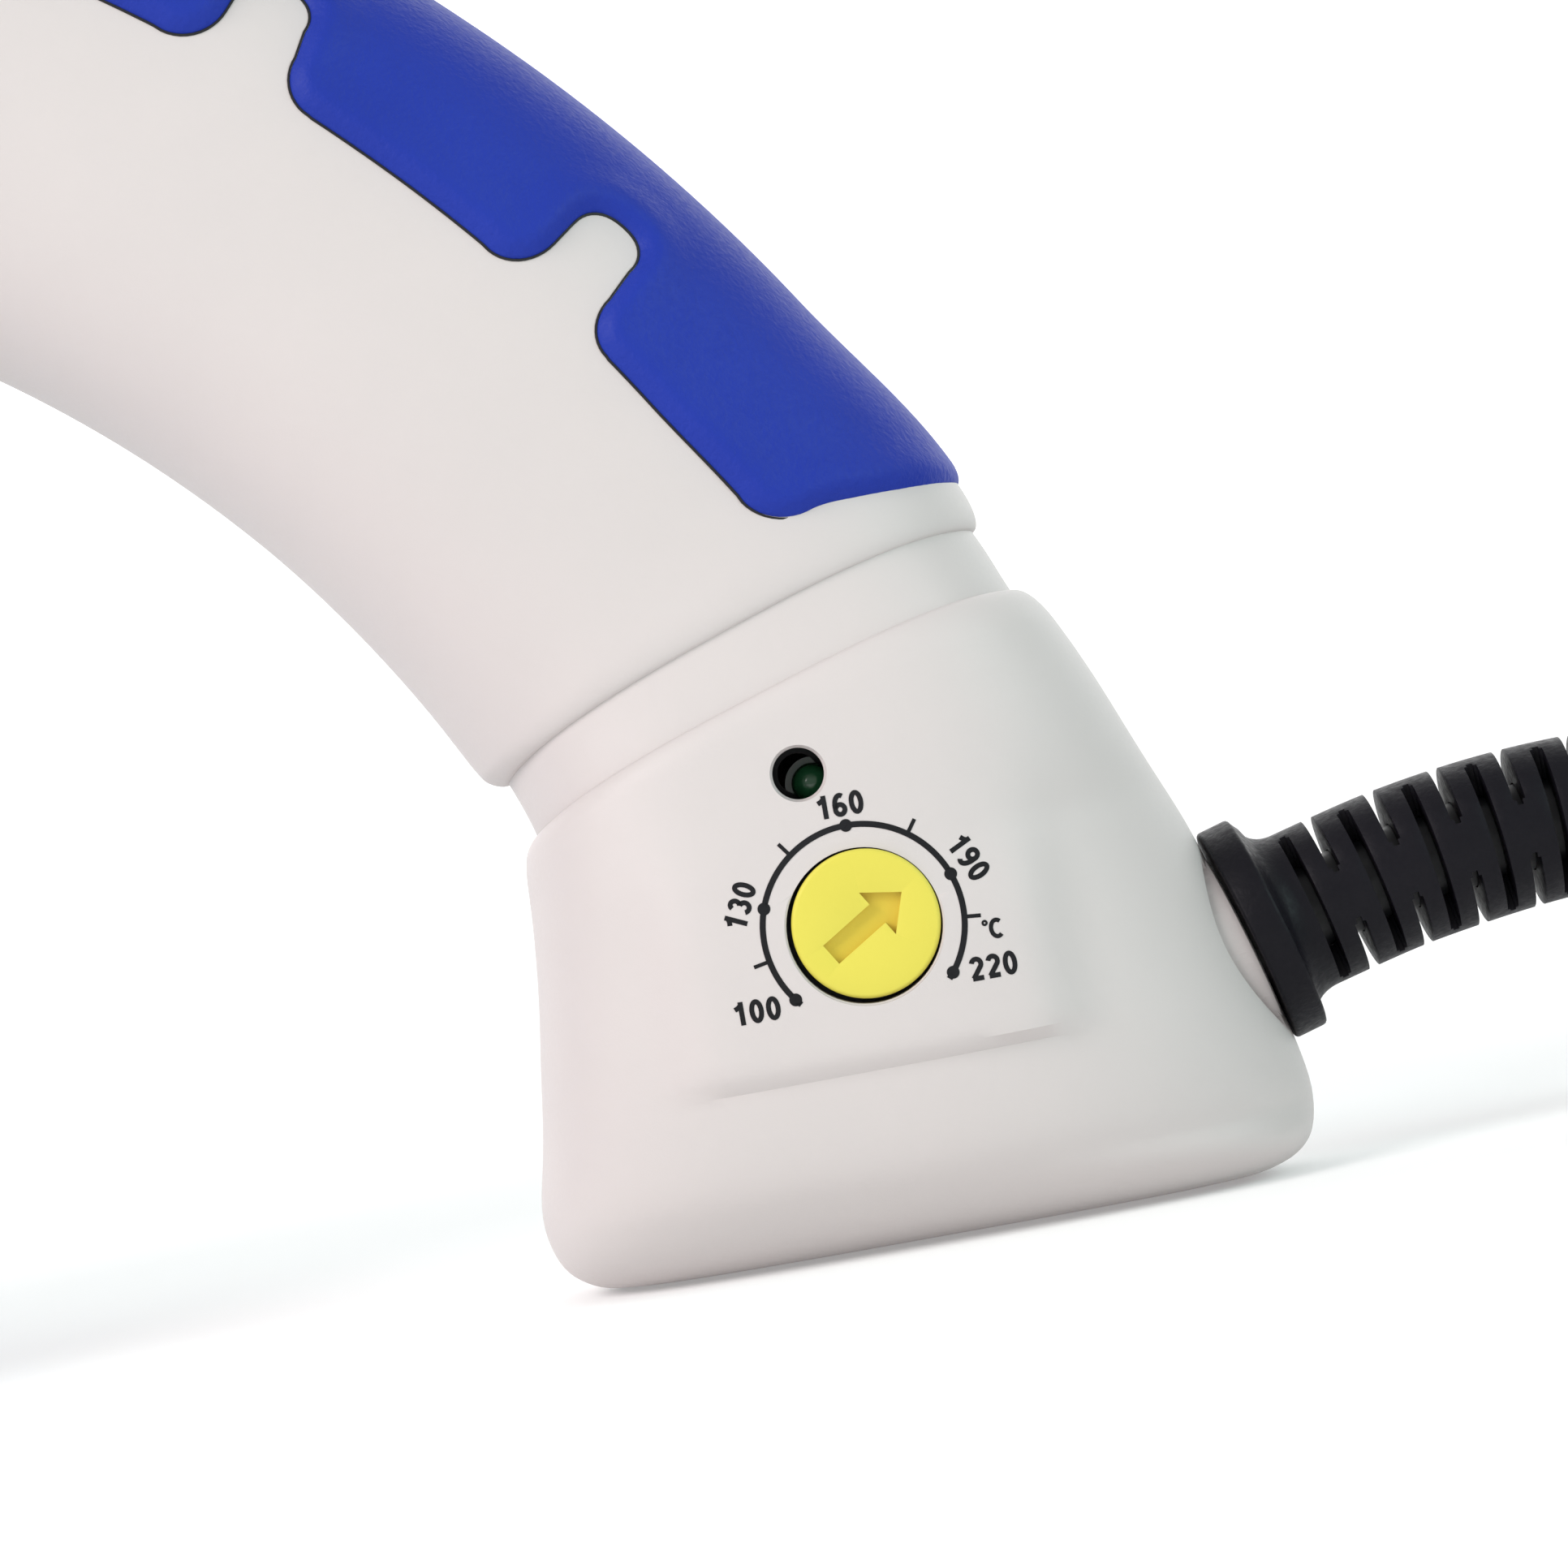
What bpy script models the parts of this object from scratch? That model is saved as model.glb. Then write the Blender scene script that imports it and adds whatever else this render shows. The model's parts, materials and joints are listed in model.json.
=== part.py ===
"""Hand-held wallpaper steamer: casing, dial, trigger, boiler, tank, steam head and mains cord.

Frame: origin in the middle of the heel's flat bottom, +Z up, +X towards the cord, -X towards the
steam head, the dial on the -Y side. Lengths below are in millimetres and MM turns them to metres.
"""
import math

import bmesh
import bpy
from mathutils import Vector

MM = 0.001
GAP = 0.3                       # clearance between neighbouring pieces
WALL = 2.2                      # casing wall
SPLIT = 0.15                    # each casing half stops this far from the middle plane

# Handle: an arc about one centre, seen from the side
ARC_X, ARC_Z = -121.0, -4.6
R_OUTER, R_INNER = 146.1, 103.3
HANDLE_HALF_WIDTH, HANDLE_POWER = 17.8, 2.5
HEEL_BACK_POWER = 2.1
# Barrel above the tank
BARREL_FRONT, BARREL_BOTTOM = -190.0, 93.0
# Grip: lobes on the flanks, counted in degrees of the handle's arc
GRIP_NECK_DEG, GRIP_TOP_DEG, SLOT_DEGREES = 64.2, 27.0, (52.3, 39.2)
GRIP_LOBE_R, GRIP_SLOT_R, GRIP_PROUD, SLOT_HALF, LOBE_CORNER = 132.5, 140.7, 0.85, 3.05, 3.2
# Dial, light and cord boot
DIAL_X, DIAL_Z, KNOB_R, KNOB_HOLE_R = -1.15, 25.5, 5.75, 6.15
LED_X, LED_Z = -4.2, 37.6
BOOT_X, BOOT_Z, BOOT_TILT_DEG, BOSS_R = 28.3, 18.5, 16.0, 7.9
CORD_R = 3.5
# Trigger
TRIGGER_PIVOT = (-97.0, 99.0)
# Tank
TANK_X0, TANK_X1, TANK_Z0, TANK_HALF_WIDTH = -176.0, -112.0, 4.0, 25.0
FILLER_X, FILLER_Z, FILLER_R, HINGE_Y = -142.0, 66.0, 10.0, -27.6
SUCTION_X = -120.0
# Steam head
HEAD_PIVOT_X, HEAD_Z = -204.0, 117.5
PLATE_HALF_Z, PLATE_HALF_Y = 78.0, 55.0
# Mains cord beyond the boot: a coil lying on the table, and the plug beside it
COIL_X, COIL_Y, COIL_INNER_R, COIL_OUTER_R, COIL_HEIGHT = 141.0, 45.5, 28.0, 49.0, 21.0
TAIL_X, PLUG_Z, PLUG_Y0, PLUG_Y1 = 107.8, 13.0, -30.0, -68.0
BOOT_ROUTE = [(31.3, 0, 19.3), (43.0, 0, 22.0), (55.5, 0, 23.1), (68.0, 0, 22.9), (79.0, 0, 20.6),
              (88.0, 0, 17.2)]
CORD_ROUTE = [(88.3, 0, 17.1), (95.5, 0, 13.4), (102.5, 0, 9.4), (109.0, 0, 5.9), (115.2, 0, 4.1)]
TAIL_ROUTE = [(TAIL_X, 6.0, 17.3), (TAIL_X, -6.0, 16.5), (TAIL_X, -16.0, 14.4), (TAIL_X, -24.0, 13.1),
              (TAIL_X, -29.6, 13.0)]


def clear_scene():
    for obj in list(bpy.data.objects):
        bpy.data.objects.remove(obj, do_unlink=True)


def material(name, colour, roughness, metallic=0.0):
    mat = bpy.data.materials.get(name) or bpy.data.materials.new(name)
    mat.use_nodes = True
    shader = mat.node_tree.nodes["Principled BSDF"]
    shader.inputs["Base Color"].default_value = (*colour, 1.0)
    shader.inputs["Roughness"].default_value = roughness
    shader.inputs["Metallic"].default_value = metallic
    return mat


FINISHES = {
    "casing": ((0.76, 0.74, 0.72), 0.5, 0.0),
    "grip": ((0.03, 0.05, 0.42), 0.55, 0.0),
    "yellow": ((0.85, 0.74, 0.12), 0.4, 0.0),
    "black": ((0.015, 0.015, 0.017), 0.6, 0.0),
    "light": ((0.02, 0.12, 0.04), 0.2, 0.0),
    "board": ((0.02, 0.16, 0.06), 0.5, 0.0),
    "steel": ((0.55, 0.55, 0.56), 0.35, 1.0),
    "brass": ((0.75, 0.56, 0.25), 0.35, 1.0),
    "aluminium": ((0.78, 0.78, 0.79), 0.35, 1.0),
    "tank": ((0.55, 0.68, 0.85), 0.15, 0.0),
    "hose": ((0.80, 0.80, 0.78), 0.4, 0.0),
    "insulation": ((0.86, 0.84, 0.78), 0.9, 0.0),
    "grey": ((0.22, 0.22, 0.23), 0.5, 0.0),
}


def finish_object(name, bm, finish, origin=(0.0, 0.0, 0.0), smooth=True):
    """Turn a bmesh in millimetres into a named object whose origin is at `origin`."""
    bmesh.ops.translate(bm, verts=bm.verts, vec=-Vector(origin))
    bmesh.ops.scale(bm, verts=bm.verts, vec=(MM, MM, MM))
    bmesh.ops.recalc_face_normals(bm, faces=bm.faces)
    mesh = bpy.data.meshes.new(name)
    bm.to_mesh(mesh)
    bm.free()
    if smooth:
        mesh.shade_smooth()
        mesh.set_sharp_from_angle(angle=math.radians(35))
    obj = bpy.data.objects.new(name, mesh)
    obj.location = Vector(origin) * MM
    bpy.context.scene.collection.objects.link(obj)
    obj.data.materials.append(material(finish, *FINISHES[finish]))
    return obj


def cutter(name, bm):
    obj = finish_object(name, bm, "grey", smooth=False)
    obj.hide_render = True
    obj.display_type = "WIRE"
    return obj


def boolean(obj, tool, operation="DIFFERENCE"):
    mod = obj.modifiers.new(tool.name, "BOOLEAN")
    mod.operation = operation
    mod.solver = "EXACT"
    mod.object = tool


def turned(bm, profile, origin, axis, segments=24):
    """Closed solid turned from (radius, distance along axis) pairs; ends lie on the axis or are capped."""
    axis = Vector(axis).normalized()
    side = axis.orthogonal().normalized()
    other = axis.cross(side)
    origin = Vector(origin)
    rings = []
    for radius, along in profile:
        centre = origin + axis * along
        if radius < 1e-6:
            rings.append([bm.verts.new(centre)])
            continue
        ring = []
        for step in range(segments):
            turn = 2 * math.pi * step / segments
            ring.append(bm.verts.new(centre + side * radius * math.cos(turn)
                                     + other * radius * math.sin(turn)))
        rings.append(ring)
    for low, high in zip(rings, rings[1:]):
        for step in range(segments):
            after = (step + 1) % segments
            quad = [low[step % len(low)], low[after % len(low)], high[after % len(high)],
                    high[step % len(high)]]
            bm.faces.new(list(dict.fromkeys(quad)))
    for ring in (rings[0], rings[-1]):
        if len(ring) > 1:
            bm.faces.new(ring)
    return bm


def rod(bm, start, end, radius, segments=16):
    start, end = Vector(start), Vector(end)
    return turned(bm, [(radius, 0.0), (radius, (end - start).length)], start, end - start, segments)


def ring_tube(bm, start, end, outer, inner, segments=24):
    """An open sleeve: its profile closes on itself round the axis."""
    start, end = Vector(start), Vector(end)
    axis = (end - start).normalized()
    side = axis.orthogonal().normalized()
    other = axis.cross(side)
    rings = []
    for centre, radius in ((start, inner), (start, outer), (end, outer), (end, inner)):
        ring = []
        for step in range(segments):
            turn = 2 * math.pi * step / segments
            ring.append(bm.verts.new(centre + side * radius * math.cos(turn)
                                     + other * radius * math.sin(turn)))
        rings.append(ring)
    for index in range(4):
        low, high = rings[index], rings[(index + 1) % 4]
        for step in range(segments):
            after = (step + 1) % segments
            bm.faces.new([low[step], low[after], high[after], high[step]])
    return bm


def block(bm, low, high, radius=0.0, segments=2):
    """A box between two corners, its edges rounded."""
    low, high = Vector(low), Vector(high)
    made = bmesh.ops.create_cube(bm, size=1.0)["verts"]
    bmesh.ops.scale(bm, verts=made, vec=high - low)
    bmesh.ops.translate(bm, verts=made, vec=(low + high) / 2)
    if radius > 0:
        edges = list({edge for vert in made for edge in vert.link_edges})
        bmesh.ops.bevel(bm, geom=edges, offset=radius, segments=segments, profile=0.5, affect="EDGES")
    return bm


def prism(bm, outline, y0, y1):
    """An outline of (x, z) points, pushed from y0 to y1."""
    near = [bm.verts.new((x, y0, z)) for x, z in outline]
    far = [bm.verts.new((x, y1, z)) for x, z in outline]
    bm.faces.new(near)
    bm.faces.new(list(reversed(far)))
    for index in range(len(outline)):
        after = (index + 1) % len(outline)
        bm.faces.new([near[after], near[index], far[index], far[after]])
    return bm


def smooth_route(points, count):
    """Points read evenly from a Catmull-Rom curve through the route's own points."""
    points = [Vector(p) for p in points]
    ends = [2 * points[0] - points[1]] + points + [2 * points[-1] - points[-2]]
    fine = []
    for index in range(1, len(ends) - 2):
        p0, p1, p2, p3 = ends[index - 1:index + 3]
        for step in range(20):
            t = step / 20
            fine.append(0.5 * (2 * p1 + (p2 - p0) * t + (2 * p0 - 5 * p1 + 4 * p2 - p3) * t * t
                               + (3 * p1 - p0 - 3 * p2 + p3) * t ** 3))
    fine.append(points[-1])
    lengths = [0.0]
    for before, after in zip(fine, fine[1:]):
        lengths.append(lengths[-1] + (after - before).length)
    route = []
    for step in range(count):
        want = lengths[-1] * step / (count - 1)
        index = max(i for i in range(len(fine) - 1) if lengths[i] <= want + 1e-9)
        part = (want - lengths[index]) / (lengths[index + 1] - lengths[index])
        route.append(fine[index].lerp(fine[index + 1], min(part, 1.0)))
    return route


def tube(name, points, radius, finish, count, resolution=2):
    curve = bpy.data.curves.new(name, "CURVE")
    curve.dimensions = "3D"
    curve.bevel_depth = radius * MM
    curve.bevel_resolution = resolution
    curve.use_fill_caps = True
    spline = curve.splines.new("POLY")
    route = smooth_route(points, count)
    spline.points.add(len(route) - 1)
    for point, place in zip(spline.points, route):
        point.co = (*(place * MM), 1.0)
    obj = bpy.data.objects.new(name, curve)
    bpy.context.scene.collection.objects.link(obj)
    curve.materials.append(material(finish, *FINISHES[finish]))
    return obj


# ---------------------------------------------------------------- casing

def on_arc(radius, degrees):
    turn = math.radians(degrees)
    return ARC_X + radius * math.sin(turn), ARC_Z + radius * math.cos(turn)


def outer_radius(degrees):
    """The back of the handle, flaring a little towards the neck."""
    flare = min(max((degrees - 57.5) / 6.5, 0.0), 1.0)
    return R_OUTER + 1.1 * flare * flare * (3 - 2 * flare)


def stations():
    """Sections from the heel's floor to the barrel's front: front, back, half width, power, arch."""
    rows = [
        ((-24.2, 0.0), (25.4, 0.0), 11.5, 3.4, 0.0),
        ((-26.9, 0.5), (28.0, 0.4), 14.0, 3.4, 0.0),
        ((-29.0, 2.1), (30.4, 1.6), 16.8, 3.4, 0.0),
        ((-30.0, 4.6), (31.6, 3.6), 19.0, 3.4, 0.0),
        ((-30.0, 7.6), (31.8, 6.8), 20.4, 3.4, 0.0),
        ((-29.1, 12.6), (30.2, 12.6), 21.0, 3.4, 0.0),
        ((-28.2, 18.6), (27.9, 20.0), 21.0, 3.4, 0.0),
        ((-27.5, 24.0), (25.6, 27.9), 20.7, 3.4, 0.4),
        ((-26.9, 29.0), (22.9, 34.6), 20.2, 3.3, 1.0),
        ((-26.8, 33.0), (20.1, 41.4), 19.7, 3.2, 1.7),
        ((-26.5, 34.7), (18.4, 45.2), 19.4, 3.1, 2.0),
        ((-25.9, 35.6), (16.7, 48.5), 18.9, 3.0, 2.1),
        ((-25.4, 36.1), (15.3, 49.2), 17.9, 2.9, 2.1),
        ((-26.8, 40.4), (13.2, 53.9), 17.2, 2.8, 2.1),
        ((-28.0, 40.8), (13.6, 54.9), 17.9, 2.6, 2.1),
        ((-28.7, 41.8), (12.6, 57.2), 17.9, 2.5, 2.0),
    ]
    degrees = 62.0
    while degrees > 23.5:
        arch = 2.0 * max((degrees - 50.0) / 12.0, 0.0)
        inner = R_INNER - 0.3 * max((degrees - 50.0) / 12.0, 0.0)
        section_line = on_arc(inner, degrees), on_arc(outer_radius(degrees), degrees)
        rows.append((*section_line, HANDLE_HALF_WIDTH, HANDLE_POWER, arch))
        degrees -= 3.5
    rows += [
        ((-84.0, 92.0), (-69.0, 132.1), 18.4, 2.5, 0.0),
        ((-92.0, 92.9), (-82.0, 136.2), 19.8, 2.7, 0.0),
        ((-100.0, 93.0), (-94.5, 139.4), 22.2, 2.9, 0.0),
        ((-108.0, 93.0), (-106.0, 141.2), 24.4, 3.1, 0.0),
        ((-117.0, 93.0), (-116.5, 142.0), 25.6, 3.3, 0.0),
        ((-130.0, 93.0), (-130.0, 142.0), 26.0, 3.4, 0.0),
        ((-160.0, 93.0), (-160.0, 142.0), 26.0, 3.4, 0.0),
        ((BARREL_FRONT, 93.0), (BARREL_FRONT, 142.0), 26.0, 3.4, 0.0),
    ]
    return rows


def back_power(bz, power):
    """The heel is rounder on the cord's side than in front; higher up both sides are alike."""
    part = min(max((bz - 1.0) / 4.0, 0.0), 1.0) * min(max((46.0 - bz) / 14.0, 0.0), 1.0)
    return power + (HEEL_BACK_POWER - power) * part


def section(row, inset, side, columns):
    """Half an outline of one section, from the back edge round the flank to the front edge."""
    (fx, fz), (bx, bz), half_width, power, arch = row
    front, back = Vector((fx, 0, fz)), Vector((bx, 0, bz))
    centre, across = (front + back) / 2, (back - front) / 2
    half = across.length
    across.normalize()
    along = Vector((-across.z, 0, across.x))
    points = []
    for column in range(columns + 1):
        turn = math.pi * column / columns
        cos, sin = math.cos(turn), math.sin(turn)
        bend = back_power(bz, power) if cos > 0 else power
        reach = math.copysign(abs(cos) ** (2 / bend), cos)
        bulge = max(sin, 0.0) ** (2 / bend)
        point = centre + across * (half - inset) * reach + along * arch * bulge * bulge
        point.y = side * (SPLIT + (half_width - inset) * bulge)
        points.append(point)
    return points


def half_shell(side, columns=10):
    """One closed casing half: outer skin, inner skin, rim on the middle plane, floor and front edge."""
    rows = stations()
    inner_rows = [((fx, max(fz, WALL + 0.2 * i)), (bx, max(bz, WALL + 0.2 * i)), w, p, arch)
                  for i, ((fx, fz), (bx, bz), w, p, arch) in enumerate(rows)]
    bm = bmesh.new()
    outer = [[bm.verts.new(p) for p in section(row, 0.0, side, columns)] for row in rows]
    inner = [[bm.verts.new(p) for p in section(row, WALL, side, columns)] for row in inner_rows]
    for grid in (outer, inner):
        for low, high in zip(grid, grid[1:]):
            for column in range(columns):
                bm.faces.new([low[column], low[column + 1], high[column + 1], high[column]])
        bm.faces.new(grid[0])
    for edge in (0, columns):
        for row in range(len(rows) - 1):
            bm.faces.new([outer[row][edge], outer[row + 1][edge], inner[row + 1][edge], inner[row][edge]])
    bm.faces.new([outer[0][0], outer[0][-1], inner[0][-1], inner[0][0]])
    for column in range(columns):
        bm.faces.new([outer[-1][column], outer[-1][column + 1], inner[-1][column + 1], inner[-1][column]])
    return bm


def boot_axis():
    tilt = math.radians(BOOT_TILT_DEG)
    return Vector((math.cos(tilt), 0, math.sin(tilt)))


# Each casing screw's place, and how far its posts reach into the flank's wall
SCREW_PLACES = [(-18.0, 12.0, 17.2), (-19.0, 56.0, 16.0), (-52.0, 94.0, 16.3),
                (-112.0, 134.0, 17.8), (-184.0, 134.0, 19.2), (-184.0, 101.0, 19.2)]


def casing():
    boss_end = Vector((BOOT_X, 0, BOOT_Z))
    boss_start = boss_end - boot_axis() * 6.0
    shells = []
    for side, name in ((-1, "shell_dial_side"), (1, "shell_far_side")):
        shell = finish_object(name, half_shell(side), "casing")
        added = bmesh.new()
        for x, z, reach in SCREW_PLACES:
            rod(added, (x, side * 0.3, z), (x, side * reach, z), 4.4, 12)
        pivot_x, pivot_z = TRIGGER_PIVOT
        rod(added, (pivot_x, side * 6.8, pivot_z), (pivot_x, side * 13.2, pivot_z), 3.0, 12)
        posts = cutter(f"posts_{name}", added)
        boolean(shell, posts, "UNION")
        boss = bmesh.new()
        rod(boss, boss_start, boss_end, BOSS_R, 32)
        half = cutter(f"boss_{name}", boss)
        keep = bmesh.new()
        block(keep, (0, side * SPLIT, -10), (60, side * 40, 60))
        boolean(half, cutter(f"boss_side_{name}", keep), "INTERSECT")
        boolean(shell, half, "UNION")
        holes = bmesh.new()
        rod(holes, boss_start - boot_axis() * 8.0, boss_end + boot_axis() * 2.0, CORD_R + 0.6, 16)
        boolean(shell, cutter(f"cord_hole_{name}", holes))
        holes = bmesh.new()
        for x, z, _ in SCREW_PLACES:
            if side > 0:
                turned(holes, [(0, -1), (1.8, -1), (1.8, 6.0), (3.0, 6.0), (3.0, 30), (0, 30)], (x, 0, z),
                       (0, 1, 0), 12)
            else:
                rod(holes, (x, 1.0, z), (x, -10.0, z), 1.8, 12)
        rod(holes, (pivot_x, side * 5.0, pivot_z), (pivot_x, side * 11.0, pivot_z), 1.8, 12)
        block(holes, (-94.2, -7.0, 78.0), (-70.0, 7.0, 97.0))
        rod(holes, (SUCTION_X, 0, 85.0), (SUCTION_X, 0, 97.0), 5.2, 16)
        if side < 0:
            rod(holes, (DIAL_X, -30.0, DIAL_Z), (DIAL_X, -16.0, DIAL_Z), KNOB_HOLE_R, 32)
            rod(holes, (LED_X, -30.0, LED_Z), (LED_X, -12.0, LED_Z), 2.0, 20)
        boolean(shell, cutter(f"holes_{name}", holes))
        shells.append(shell)
    for index, (x, z, _) in enumerate(SCREW_PLACES, 1):
        bm = bmesh.new()
        turned(bm, [(0, 9.4), (1.0, 9.4), (1.0, 10.4), (2.6, 10.4), (2.6, 8.0), (1.5, 7.6), (1.5, -8.0),
                    (0, -9.0)],
               (x, 0, z), (0, 1, 0), 12)
        finish_object(f"shell_screw_{index}", bm, "steel")
    return shells


# ---------------------------------------------------------------- grip

def grip_edge(degrees):
    """How far out from the arc's centre the grip's lower edge runs: lobes with round-ended slots."""
    per_degree = math.radians(1.0) * 138.0
    slot = min(abs(degrees - centre) for centre in SLOT_DEGREES) * per_degree
    if slot < SLOT_HALF:
        return GRIP_SLOT_R - SLOT_HALF + math.sqrt(SLOT_HALF ** 2 - slot ** 2)
    end = min(GRIP_NECK_DEG - degrees, degrees - GRIP_TOP_DEG) * per_degree
    past = min(slot - SLOT_HALF, end)
    if past >= LOBE_CORNER:
        return GRIP_LOBE_R
    return GRIP_LOBE_R + LOBE_CORNER - math.sqrt(LOBE_CORNER ** 2 - (LOBE_CORNER - past) ** 2)


def grip_degrees():
    per_degree = math.radians(1.0) * 138.0
    rows = set()
    for centre in SLOT_DEGREES:
        for offset in (0.0, 1.8, 2.7, 3.04, 3.07, 3.6, 4.4, 6.2):
            rows |= {centre + offset / per_degree, centre - offset / per_degree}
    for offset in (0.0, 0.6, 1.4, 2.6, 6.0, 10.0):
        rows |= {GRIP_NECK_DEG - offset / per_degree, GRIP_TOP_DEG + offset / per_degree}
    rows |= {degrees for centre in SLOT_DEGREES for degrees in (centre + 4.2, centre + 6.2, centre - 4.2)}
    return sorted(rows, reverse=True)


def grip_row(degrees, height, columns):
    """A stretch of the handle's section over its back, lifted off the casing."""
    arch = 2.0 * max((degrees - 50.0) / 12.0, 0.0)
    front = Vector((on_arc(R_INNER, degrees)[0], 0, on_arc(R_INNER, degrees)[1]))
    back = Vector((on_arc(outer_radius(degrees), degrees)[0], 0, on_arc(outer_radius(degrees), degrees)[1]))
    centre, across = (front + back) / 2, (back - front) / 2
    half = across.length
    across.normalize()
    along = Vector((-across.z, 0, across.x))
    reach = (grip_edge(degrees) - (R_INNER + R_OUTER) / 2) / half
    widest = math.acos(reach ** (HANDLE_POWER / 2))
    points = []
    for column in range(columns + 1):
        turn = widest * (2 * column / columns - 1)
        bulge = abs(math.sin(turn)) ** (2 / HANDLE_POWER)
        point = centre + across * (half + height) * math.cos(turn) ** (2 / HANDLE_POWER)
        point += along * arch * bulge * bulge
        point.y = math.copysign(SPLIT * min(bulge * 9, 1.0) + (HANDLE_HALF_WIDTH + height) * bulge, turn)
        points.append(point)
    return points


def soft_grip(columns=12):
    rows = grip_degrees()
    bm = bmesh.new()
    outer = [[bm.verts.new(p) for p in grip_row(degrees, GRIP_PROUD, columns)] for degrees in rows]
    inner = [[bm.verts.new(p) for p in grip_row(degrees, GAP, columns)] for degrees in rows]
    for grid in (outer, inner):
        for low, high in zip(grid, grid[1:]):
            for column in range(columns):
                bm.faces.new([low[column], low[column + 1], high[column + 1], high[column]])
    for edge in (0, columns):
        for row in range(len(rows) - 1):
            bm.faces.new([outer[row][edge], outer[row + 1][edge], inner[row + 1][edge], inner[row][edge]])
    for row in (0, -1):
        for column in range(columns):
            bm.faces.new([outer[row][column], outer[row][column + 1], inner[row][column + 1],
                          inner[row][column]])
    return finish_object("soft_grip", bm, "grip")


# ---------------------------------------------------------------- dial and electrics in the heel

def arrow_outline():
    """The recessed arrow, in its own plane, pointing along +v; lengths in millimetres."""
    shaft, head, tail, barb, tip = 0.9, 2.1, -3.6, 1.2, 3.6
    return [(-shaft, tail), (shaft, tail), (shaft, barb), (head, barb), (0.0, tip), (-head, barb),
            (-shaft, barb)]


def dial():
    bm = bmesh.new()
    turned(bm, [(0, 0), (KNOB_R - 0.4, 0), (KNOB_R, 0.4), (KNOB_R, 3.8), (0, 3.8)],
           (DIAL_X, -21.3, DIAL_Z), (0, 1, 0), 32)
    origin = (DIAL_X, -21.3, DIAL_Z)
    knob = finish_object("dial_knob", bm, "yellow", origin)
    turn = math.radians(58.4)
    outline = [(DIAL_X + u * math.cos(turn) + v * math.sin(turn),
                DIAL_Z - u * math.sin(turn) + v * math.cos(turn))
               for u, v in arrow_outline()]
    boolean(knob, cutter("arrow_recess", prism(bmesh.new(), outline, -22.0, -20.4)))
    finish_object("dial_spindle", rod(bmesh.new(), (DIAL_X, -17.2, DIAL_Z), (DIAL_X, -15.4, DIAL_Z), 2.5),
                  "steel",
                  (DIAL_X, -17.2, DIAL_Z))


def heel_electrics():
    bm = block(bmesh.new(), (DIAL_X - 7, -15.1, DIAL_Z - 7), (DIAL_X + 7, -9.4, DIAL_Z + 7), 0.8, 1)
    finish_object("thermostat_control", bm, "grey")
    finish_object("control_board", block(bmesh.new(), (-12, -9.1, 12), (13, -7.5, 36)), "board")
    profile = [(0, 0), (0.9, 0.25), (1.5, 0.9), (1.7, 1.7), (1.7, 2.6), (2.2, 2.6), (2.2, 3.6), (0, 3.6)]
    finish_object("status_led", turned(bmesh.new(), profile, (LED_X, -17.7, LED_Z), (0, 1, 0), 16), "light")
    bm = ring_tube(bmesh.new(), (LED_X, -13.8, LED_Z), (LED_X, -9.4, LED_Z), 2.6, 1.6, 16)
    finish_object("led_holder", bm, "black")


def boot_solid():
    """Flange and curved sleeve in one skin: rings along the boot's centre line."""
    start = Vector((BOOT_X, 0, BOOT_Z))
    places = [(start + boot_axis() * along, boot_axis(), radius)
              for along, radius in ((0.3, 8.6), (0.7, 9.0), (2.6, 9.0), (3.0, 8.6), (3.4, 7.5), (4.6, 6.7))]
    route = smooth_route(BOOT_ROUTE, 14)
    for index in range(3, len(route)):
        ahead = route[min(index + 1, len(route) - 1)] - route[index - 1]
        places.append((route[index], ahead.normalized(), 6.5 - 0.11 * index))
    bm = bmesh.new()
    rings = []
    for centre, ahead, radius in places:
        up = Vector((-ahead.z, 0, ahead.x))
        rings.append([bm.verts.new(centre + up * radius * math.cos(turn)
                                   + Vector((0, radius * math.sin(turn), 0)))
                      for turn in (2 * math.pi * step / 20 for step in range(20))])
    for low, high in zip(rings, rings[1:]):
        for step in range(20):
            after = (step + 1) % 20
            bm.faces.new([low[step], low[after], high[after], high[step]])
    bm.faces.new(rings[0])
    bm.faces.new(rings[-1])
    finish_object("cord_boot", bm, "black")


def lead_inside():
    inner_end = Vector((BOOT_X, 0, BOOT_Z))
    route = [tuple(inner_end), tuple(inner_end - boot_axis() * 9), tuple(inner_end - boot_axis() * 18),
             (3.0, 0, 11.6)]
    tube("inner_lead", route, CORD_R - 0.2, "black", 12)
    bm = block(bmesh.new(), (7, -7, 17.7), (13, 7, 20.7), 0.6, 1)
    clamp = finish_object("cord_clamp", bm, "grey")
    holes = bmesh.new()
    for side in (-1, 1):
        rod(holes, (10, side * 5.3, 15), (10, side * 5.3, 25), 1.4, 12)
    boolean(clamp, cutter("clamp_holes", holes))
    for index, side in enumerate((-1, 1), 1):
        profile = [(0, 0), (1.1, 0.4), (1.1, 11.9), (2.1, 11.9), (2.1, 13.3), (0, 13.3)]
        bm = turned(bmesh.new(), profile, (10, side * 5.3, 9.1), (0, 0, 1), 12)
        finish_object(f"clamp_screw_{index}", bm, "steel")
    route = [(-3, 3, 35)]
    route += [(on_arc(131, degrees)[0], 4, on_arc(131, degrees)[1]) for degrees in (62, 52, 42, 32, 22)]
    tube("handle_wiring", route + [(-98, 4, 127)], 2.0, "grey", 24)


# ---------------------------------------------------------------- trigger and switch

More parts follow.
